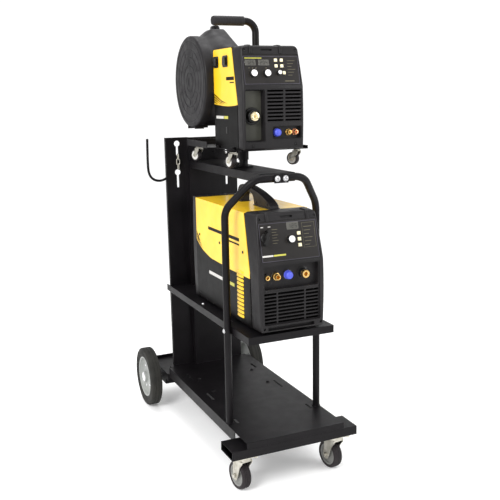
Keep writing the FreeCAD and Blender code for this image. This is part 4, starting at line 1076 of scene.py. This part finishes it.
def source_handle():
    """Moulded arch that stands on a broad front leg and a short back leg."""
    base = span("source_carry_handle")[0].z
    outer = ((150, 0), (157, 15), (190, 32), (245, 48), (311, 60), (371, 66), (412, 58), (429, 30),
             (432, 0))
    inner = ((394, 0), (390, 28), (368, 43), (332, 43), (303, 40), (288, 24), (282, 0))
    outline = []
    for side in (outer, inner):
        line = smooth_line([Vector((0, y, base + rise)) for y, rise in side], 3)
        outline += [Vector((p.y, p.z)) for p in line]
    bm = bmesh.new()
    slab(bm, outline, "side", -17, 17)
    piece("source_handle", bm, plastic, "trolley", ["source_carry_handle"], edge=3.0,
          segments=3, angle=50)
    bm = bmesh.new()
    for low, high in ((145, 287), (389, 437)):
        slab(bm, rectangle(-20, 20, low, high, 6), "top", base, base + 3.5)
    rivet = [(5, -0.4), (5, 1.2), (3.6, 2.2), (0, 2.4)]
    for y in (176, 262, 412):
        for out in (1, -1):
            turned(bm, rivet, (17 * out, y, base + 14), (out, 0, 0), 20)
    piece("source_handle_feet", bm, knob_black, "trolley", edge=0.8, angle=50)


def source_inside():
    for node, material, edge in (("source_base_pan", powder, 0.4), ("inverter_core", alloy, 0.3),
                                 ("source_rear_panel", plastic, 1.2), ("cooling_fan", knob_black, 0.5)):
        eased_node(node, material, edge)


# ------------------------------------------------------------------------- feeder

def feeder_bezel():
    bm = bezel_body(FEEDER, ease=8)
    bm = combined(bm, bezel_body(FEEDER, inset=5, front_inset=15, extra=60, ease=0))
    bm = combined(bm, slabs(((-53, 22, 1161, 1341, 7, 240, 263), (49, 163, 1169, 1215, 6, 240, 262.5),
                             (28, 165, 1228, 1342, 6, 240, 262))))
    for tub in ((-54, 23, 1160, 1342, 8, 263.5, 293), (48, 164, 1168, 1216, 7, 263, 281.5)):
        bm = combined(bm, slabs((tub,)), "UNION")
    holes = slabs(((-51, 20, 1163, 1339, 6, 240, 290), (51, 161, 1171, 1213, 5, 240, 278)))
    grille(holes, ((31, 93), (100, 162)), 1235, 12.5, 9, 6.6, 240, 290)
    for x, z in ((-26, 1148), (138, 1150)):
        slab(holes, circle(x, z, 5, 20), "front", 240, 264)
    upper = slabs(((-53, 163, 1356, 1461, 8, 240, 262.2), (20, 62, 1472, 1479, 3, 240, 266)))
    for x in (-44, 152):
        slab(upper, circle(x, 1475, 5.2, 20), "front", 240, 265)
    bm = combined(bm, holes)
    bm = combined(bm, leaned(upper, FEEDER_BREAK))
    shoulder_ribs(bm, FEEDER, (-20, 93))
    piece("feeder_bezel", bm, plastic, "feeder", ["feeder_front_bezel"],
          edge=0.7, angle=40)
    # Near-black sheet just behind the grille slots: painted shade that makes the openings look dark inside.
    piece("feeder_grille_painted_shade", slabs(((26, 167, 1222, 1346, 4, 280, 283),)), painted_inner_shade, "feeder")
    bm = bmesh.new()
    for x in (-44, 152):
        screw(bm, (x, 263.6, 1475), TOWARDS, 4.6)
    leaned(bm, FEEDER_BREAK)
    for x, z in ((-26, 1148), (138, 1150)):
        screw(bm, (x, 263.5, z), TOWARDS)
    piece("feeder_screws", bm, knob_black, "feeder")


def feeder_panel():
    """Film panel with two displays, printed scales, plain stripes, the flap's edge in a painted-highlight
    colour and a lamp.
    """
    front, z0 = FEEDER_BREAK[0] + FILM_FACE, FEEDER_BREAK[1]
    unit = body = "feeder"
    panel_film(unit, body, FEEDER_BREAK, (-51.5, 161.5, 1357.5, 1459.5, 7),
               ((-17, 44, 5), (34, 44, 5), (80, 46, 4)), [(x, s, 5.5) for x in (72, 94) for s in (70, 90)])
    displays(unit, body, FEEDER_BREAK, ((-44, -4, 72, 92, 2), (6, 46, 72, 92, 2)),
             ((-37, 76.5, "125"), (13, 76.5, "204")), 10.5, 11)
    bm = bmesh.new()
    for x, s, radius, count, length in ((-17, 44, 15.5, 11, 2.6), (34, 44, 15.5, 11, 2.6),
                                        (80, 46, 10, 9, 2)):
        scale_ticks(bm, x, z0 + s, radius, count, length, front)
    rows = [(116, 132 + 7 * (n % 3), 38 + 10 * n, 39.2 + 10 * n) for n in range(6)]
    rows += [(x - 2.5, x + 2.5, 63, 64.6) for x in (-30, -17, -4, 34)] + [(102, 138, 17, 19.5)]
    printed("feeder_print", body, FEEDER_BREAK, dim_ink, rows, bm)
    printed("feeder_stripe", body, FEEDER_BREAK, yellow_ink, ((-44, 20, 96, 99),))
    panel_flap(unit, body, FEEDER_BREAK, -51, 159, 8, 104)
    lamp = slabs(((95, 106, z0 + 41, z0 + 52, 1.5, front - 2.6, front),))
    piece("feeder_lamp", leaned(lamp, FEEDER_BREAK), cream, body, edge=0.8)


def feeder_sockets():
    """Torch socket, covered control socket and two hose unions."""
    seat = (-17, 290, 1250)
    bm = bmesh.new()
    back = rectangle(-50, 19, 1166, 1336, 5)
    slab(bm, back, "front", 288.6, 289.8, 4)
    flange = [(15.6, 0), (30, 0), (30, 4.6), (28.6, 6), (23, 6.2), (22.4, 8), (22, 24.6), (20.8, 26),
              (17, 26), (16.2, 25)]
    turned(bm, flange, seat, TOWARDS, 56, 0)
    core = [(16.1, 0), (16.1, 29), (15, 30.6), (13.8, 31), (9.5, 31), (9, 30.4), (8.6, 27), (4.6, 26.6),
            (4.4, 18), (0, 18)]
    turned(bm, core, seat, TOWARDS, 48, 5)
    for n in range(3):
        a = radians(90 + 120 * n)
        pin = Vector((-17 + 12 * cos(a), 290, 1250 + 12 * sin(a)))
        turned(bm, [(1.7, 31), (1.7, 32), (1.2, 32.4), (0, 32.4)], pin, TOWARDS, 12, 0)
    for n in range(4):
        a = radians(45 + 90 * n)
        screw(bm, (-17 + 26 * cos(a), 284.2, 1250 + 26 * sin(a)), (0, -1, 0), 2.4)
    cap = [(14.5, 0), (14.5, 5), (13.2, 6), (13.2, 15), (12.4, 17), (9.8, 19), (5.4, 20.4), (0, 20.8)]
    turned(bm, cap, (72, 278, 1192), TOWARDS, 48, 2, fluted(16, 0.06, (3, 4)))
    for x, paint in ((118, 1), (144, 3)):
        union = [(9.5, 0), (9.5, 4), (8.6, 4.6), (8.2, 12), (7.4, 14.6), (5, 15), (4, 14.2), (4, 3), (0, 3)]
        turned(bm, union, (x, 278, 1192), TOWARDS, 40, paint)
        turned(bm, [(8, -0.1), (12, -0.1), (12, 1.4), (11.4, 2), (8, 2)], (x, 278, 1192), TOWARDS,
               6, paint)
    piece("feeder_unions", bm, [knob_black, brass, blue_cap, copper, back_plate, pale_brass], "feeder",
          ["feeder_sockets"])


def case_paint(face):
    """Yellow outside, black low down, and painted shade (near black) on the faces that look inwards."""
    middle = face.calc_center_median()
    # Faces that look into the case get index 2, the painted shade.
    inside = face.normal.x < -0.9 and middle.x > 0.16 or abs(middle.x - 0.063) < 0.002
    rim = face.normal.x < -0.9 and middle.x < -0.05
    return 2 if inside else int(middle.z < 1.15 or face.normal.y < -0.9 or rim)


def feeder_body():
    """Sheet case with its screws, and film over the lower part of its right side."""
    eased_node("feeder_case", [yellow, black_film, painted_inner_shade], 0.6, paint=case_paint)
    x_side = span("feeder_case")[1].x
    bm = bmesh.new()
    wave = wave_line(((302, 1283), (360, 1281), (420, 1283), (470, 1288), (519.6, 1297)))
    outline = [Vector((519.6, 1134.4)), Vector((299.9, 1134.4))] + wave
    side_film(bm, outline, x_side, 1)
    piece("feeder_right_film", bm, black_film, "feeder")
    bm = bmesh.new()
    for y, z in ((360, 1160), (500, 1160), (380, 1462), (500, 1462)):
        screw(bm, (x_side + 0.3, y, z), (1, 0, 0), 4.6)
        screw(bm, (54 + (y - 440) * 0.6, 519.7, z), (0, 1, 0), 4.2)
    for x in (-40, 100):
        for y in (372, 500):
            screw(bm, (x, y, FEEDER["z"][1] - 3.2), (0, 0, 1), 4.2)
    piece("feeder_case_screws", bm, knob_black, "feeder")


def side_door():
    """Door sheet: yellow above, black film colour below a line that sweeps up behind."""
    face, thick = -63.0, 1.8
    body, slot = "side_door", "yellow_paint"
    low, high, front, back = 1137.0, 1484.0, 303.0, 517.0
    wave = wave_line(((305, 1289), (340, 1286), (390, 1284.5), (440, 1286), (480, 1288.5),
                      (back, 1292)))
    upper = wave + [Vector((back, high - 6)), Vector((back - 6, high)), Vector((354, high)),
                    Vector((347.5, high - 4))]
    bm = bmesh.new()
    slab(bm, upper, "side", face, face + thick)
    piece("door_upper", bm, yellow, body, ["feeder_side_door"], edge=0.4)
    lower = [Vector((back, low)), Vector((front, low))] + wave
    bm = bmesh.new()
    slab(bm, lower, "side", face, face + thick)
    for y in (334.5, 474.5):
        turned(bm, [(1.6, 0), (3.2, 0), (3.2, 18), (1.6, 18)], (-66, y, 1140), (0, 1, 0), 24)
        block(bm, -66, face + 0.4, y, y + 18, 1140.6, 1143.2)
    piece("door_lower", bm, black_film, body, edge=0.3)
    bm = bmesh.new()
    for n in range(4):
        streak = [(back - 0.5, 1297 + 9 * n), (back - 0.5, 1303 + 9 * n), (480 - 10 * n, 1292 + 4.5 * n),
                  (444 - 16 * n, 1286.2 + 2.6 * n), (476 - 10 * n, 1290.5 + 3.2 * n)]
        side_film(bm, [Vector(p) for p in streak], face, -1)
    side_film(bm, rectangle(330, 400, 1374, 1386, 1.5), face, -1)
    side_film(bm, rectangle(330, 368, 1364, 1368, 1), face, -1)
    piece("door_film", bm, black_film, body)
    side_marks("door_mark", print_ink, body, face, -1, [(430, 500, 1240, 1250, 1)])
    side_marks("door_stripe", yellow_ink, body, face, -1, [(390, 426, 1240, 1250, 1)])
    bm = bmesh.new()
    for y in (404, 490):
        plate = rounded([(y - 22, 1420), (y + 22, 1420), (y + 22, 1460), (y - 22, 1460)], 5, 4)
        slab(bm, plate, "side", face - 2.6, face)
        pad = rounded([(y - 16, 1426), (y + 12, 1426), (y + 10, 1454), (y - 14, 1454)], 4, 4)
        slab(bm, pad, "side", face - 9, face - 2.2)
    keyhole = [Vector((403 + 5.4 * cos(a), z + 5.4 * sin(a)))
               for z, start in ((1207, 0), (1193, pi)) for a in
               [start + pi * n / 10 for n in range(11)]]
    slab(bm, keyhole, "side", face - 1.2, face + 0.2)
    piece("door_latches", bm, knob_black, body, edge=0.8, angle=50)


def housing_reach(outline, centre, a):
    """Distance from the centre to a convex outline in one direction."""
    ray = Vector((cos(a), sin(a)))
    far = DRUM_RADIUS
    for p, q in zip(outline, outline[1:] + outline[:1]):
        side = q - p
        across = Vector((side.y, -side.x))
        slope = across.dot(ray)
        if abs(slope) < 1e-9:
            continue
        distance = across.dot(p - centre) / slope
        along = (centre + ray * distance - p).dot(side) / side.dot(side)
        if distance > 0 and -1e-6 <= along <= 1 + 1e-6:
            far = max(far, distance)
    return far


def drum_housing():
    """Round shell at the lid that swells into a fairing with a lug on its apex."""
    (y, z), right = DRUM_AXIS, 50.0
    outline = rounded([(520.5, 1236), (690, 1210), (800, 1300), (806, 1440), (722, 1572), (664, 1573),
                       (520.5, 1496)], [8, 60, 110, 110, 24, 20, 8], 8)
    angles = [2 * pi * n / 144 for n in range(144)]
    swell = [housing_reach(outline, Vector((y, z)), a) - DRUM_RADIUS for a in angles]
    bm = bmesh.new()
    rings = []
    for x, radius, share in ((-61.7, 164, 0), (-60.4, 167.4, 0), (-58, 168, 0), (-50, 168, 0.05),
                             (-42, 168, 0.17), (-34, 168, 0.36), (-26, 168, 0.58), (-18, 168, 0.78),
                             (-10, 168, 0.93), (-2, 168, 1), (38, 168, 1), (44, 166, 1), (48.4, 162, 1),
                             (right, 157, 1)):
        rings.append([bm.verts.new((x, y + (radius + more * share) * cos(a),
                                    z + (radius + more * share) * sin(a)))
                      for a, more in zip(angles, swell)])
    for low, high in zip(rings, rings[1:]):
        for n in range(len(low)):
            m = (n + 1) % len(low)
            bm.faces.new((low[n], low[m], high[m], high[n])).smooth = True
    bm.faces.new(rings[0])
    bm.faces.new(rings[-1])
    bmesh.ops.recalc_face_normals(bm, faces=bm.faces)
    bore = bmesh.new()
    turned(bore, [(0, -70), (162, -70), (162, right - 3.4), (0, right - 3.4)], (0, y, z), (1, 0, 0), 96)
    bm = combined(bm, bore)
    turned(bm, [(0, -52), (22, -52), (25, -50), (25, right - 2), (0, right - 2)], (0, y, z), (1, 0, 0), 48)
    lug = rounded([(-4, 1560), (36, 1560), (31, 1583), (25, 1587), (8, 1587), (1, 1583)],
                  [0, 0, 4, 4, 4, 4], 4)
    slab(bm, lug, "front", y - 9, y + 9)
    for sign in (-1, 1):
        at = y + sign * 38
        block(bm, -93, -55, at - 2, at + 2, 1198, 1212)
    block(bm, -60, -40, y - 42, y + 42, 1202, 1217)
    piece("drum_housing", bm, drum_plastic, "feeder", ["spool_housing"], edge=0.8, angle=45)
    bm = bmesh.new()
    button_head(bm, (16, y - 9, 1577), (0, -1, 0), 5.5, 4)
    piece("drum_bolt", bm, powder, "feeder")


def drum():
    """Wire drum: the housing and its round lid with raised rings."""
    drum_housing()
    x0 = span("spool_cover")[0].x
    y, z = DRUM_AXIS
    bm = bmesh.new()
    section = [(0, 2.2), (16, 2.2), (18, 1.2), (20, 0.9), (33, 0.9), (34.5, 2.6), (36.5, 2.6), (38, 0.8),
               (60, 0.8), (61.5, 2.4), (64, 2.4), (65.5, 0.8), (92, 0.8), (93.5, 2.4), (96, 2.4), (97.5, 0.8),
               (120, 0.8), (121.5, 2.2), (124, 2.2), (125.5, 0.8), (148, 0.8), (149.5, 2.0), (152, 2.0),
               (154, 0.4), (163, 0.2), (167.6, 1.2), (170.4, 3.6), (171.6, 7), (171.8, 22), (171.8, 32.6),
               (168.2, 32.6), (168.2, 6), (165, 4.2), (0, 4.2)]
    turned(bm, section, (x0, y, z), (1, 0, 0), 128)
    for radius, count in ((77, 6), (107, 8)):
        for n in range(count):
            a = 2 * pi * (n + 0.5) / count
            rib = rectangle(-9, 9, -1.6, 1.6)
            c, s = cos(a), sin(a)
            rib = [(y + (radius + p.x) * c - p.y * s, z + (radius + p.x) * s + p.y * c) for p in rib]
            slab(bm, rib, "side", x0 - 0.1, x0 + 2)
    piece("drum_lid_shell", bm, drum_plastic, "drum_lid", ["spool_cover"])


def spool():
    """Spool with stepped flanges and layered wire."""
    x0 = span("wire_spool")[0].x
    y, z = DRUM_AXIS
    bm = bmesh.new()
    core = [(25.1, 0), (30, 0), (31, 1), (46, 1), (50, 0), (146, 0), (150, 1), (150, 2.2), (148, 3), (52, 3),
            (52, 97), (148, 97), (150, 97.8), (150, 99), (146, 100), (50, 100), (46, 99), (31, 99), (30, 100),
            (25.1, 100), (25.1, 0)]
    turned(bm, core, (x0, y, z), (1, 0, 0), 96)
    piece("spool_plastic", bm, knob_black, "spool", ["wire_spool"])
    bm = bmesh.new()
    turns = []
    count = 46
    for n in range(count + 1):
        along = 3.4 + 93.2 * n / count
        turns += [(130.6, along - 0.9 if n else along), (132, along)]
    turned(bm, [(53, 3.4)] + turns + [(53, 96.6)], (x0, y, z), (1, 0, 0), 96)
    piece("spool_wire", bm, copper, "spool")


def drive():
    for node, material, edge in (("wire_drive", alloy, 0.6), ("drive_roll", steel, 0.5),
                                 ("pressure_arm", knob_black, 1.2)):
        eased_node(node, material, edge)


def handle_grip():
    """Ribbed rubber sleeve with a rounded nose."""
    low, high = span("feeder_handle_grip")
    y, z = 400.0, 1577.0
    length = high.x - low.x
    profile = [(12.6, 0), (15.4, 0), (16.4, 1.2)]
    for n in range(9):
        start = 8 + 10.5 * n
        profile += [(16.4, start), (15.7, start + 0.8), (15.7, start + 1.8), (16.4, start + 2.6)]
    profile += [(16.4, length - 12), (15.6, length - 5), (13.4, length - 1.6), (10, length - 0.3), (0, length)]
    bm = bmesh.new()
    turned(bm, profile, (high.x, y, z), (-1, 0, 0), 48)
    piece("handle_sleeve", bm, grip_rubber, "feeder", ["feeder_handle_grip"])


def feeder_castors():
    """Small castors: pressed bright fork, black wheel with a grey web."""
    joints = {joint["name"]: joint for joint in frame["joints"]}
    turn = {1: 10, 2: 30, 3: 20, 4: 5}
    for number in (1, 2, 3, 4):
        pin = joints["feeder_castor_%d_swivel" % number]["pos_m"]
        place = Matrix.Translation((pin[0] * 1000, pin[1] * 1000 - FRONT, 0)) @ Matrix.Rotation(
            radians(turn[number]), 4, "Z")
        low, high = span("feeder_castor_%d" % number)
        wheel_r, trail, z = 23.0, 17.0, low.z + 23
        body = "feeder_castor_%d" % number
        bm = bmesh.new()
        race = [(4.2, 0), (10, 0), (12.4, -1), (12.4, -4), (10.5, -5), (4.2, -5), (4.2, 0)]
        turned(bm, race, (0, 0, high.z), (0, 0, 1), 32)
        leg = rounded([(-10, high.z - 5), (-9, high.z - 16), (trail - 8, z - 1), (trail, z - 8),
                       (trail + 8, z - 1), (13, high.z - 14), (12, high.z - 5)], [1, 10, 6, 8, 6, 10, 1], 4)
        for sign in (-1, 1):
            a, b = sorted((sign * 10.5, sign * 12.4))
            slab(bm, leg, "side", a, b)
            nut = [(0, 15), (4, 15), (4.6, 14.2), (4.6, 12.4), (0, 12.4)]
            turned(bm, nut, (0, trail, z), (sign, 0, 0), 6)
        slab(bm, rounded([(-12.4, -10), (12.4, -10), (12.4, 12), (-12.4, 12)], 3, 3), "top",
             high.z - 7.6, high.z - 5)
        turned(bm, [(0, -10.5), (3, -10.5), (3, 10.5), (0, 10.5)], (0, trail, z), (1, 0, 0), 16)
        moved(bm, place)
        piece("small_castor_%d_fork" % number, bm, zinc, body, [body], edge=0.4, angle=50)
        bm = bmesh.new()
        tread = [(17.4, 8.4), (19, 9), (21, 8.8), (22.4, 7.4), (23, 5), (23, 0.6), (22.6, 0.3)]
        turned(bm, mirrored(tread), (0, trail, z), (1, 0, 0), 48)
        web = [(3.2, 9), (6.6, 9), (7.4, 8), (7.6, 6.2), (15.6, 6.2), (16.4, 8), (17.5, 8.6)]
        turned(bm, mirrored(web), (0, trail, z), (1, 0, 0), 40, 1)
        moved(bm, place)
        piece("small_castor_%d_wheel" % number, bm, [castor_rubber, chalk_white], body)


make_camera()
make_studio()

for node, edge in (("deck_plate", 0.8), ("front_crossbeam", 1.6), ("chassis_frame", 0.8),
                   ("column_panel", 0.8), ("power_source_shelf", 0.8), ("top_arm", 1.0),
                   ("pivot_post", 0.6), ("front_loop_tube", 0),
                   ("feeder_tray", 0.6), ("feeder_handle_tube", 0), ("rear_axle", 0.5)):
    eased_node(node, steel if node == "rear_axle" else powder, edge)
for side in ("left", "right"):
    wheel_tyre(side)
    wheel_rim(side)
    castor_wheel(side)
    castor_fork(side)
castor_plates()
trolley_bolts()
hook()
trolley_welds()
eased_node("bottle_chain", zinc, 0)

source_bezel()
bezel_screws()
source_panel()
main_switch()
knob("setting_dial_knob", "setting_knob", 5, 75, 13, SOURCE_BREAK, "setting_dial")
source_sockets()
source_cover()
source_handle()
source_inside()
keys()

feeder_bezel()
feeder_panel()
for word, x, s, radius in (("voltage", -17, 44, 13), ("wire_speed", 34, 44, 13), ("trim", 80, 46, 8)):
    knob(word + "_dial_knob", word + "_knob", x, s, radius, FEEDER_BREAK, word + "_dial")
feeder_sockets()
feeder_body()
side_door()
drum()
spool()
drive()
handle_grip()
feeder_castors()
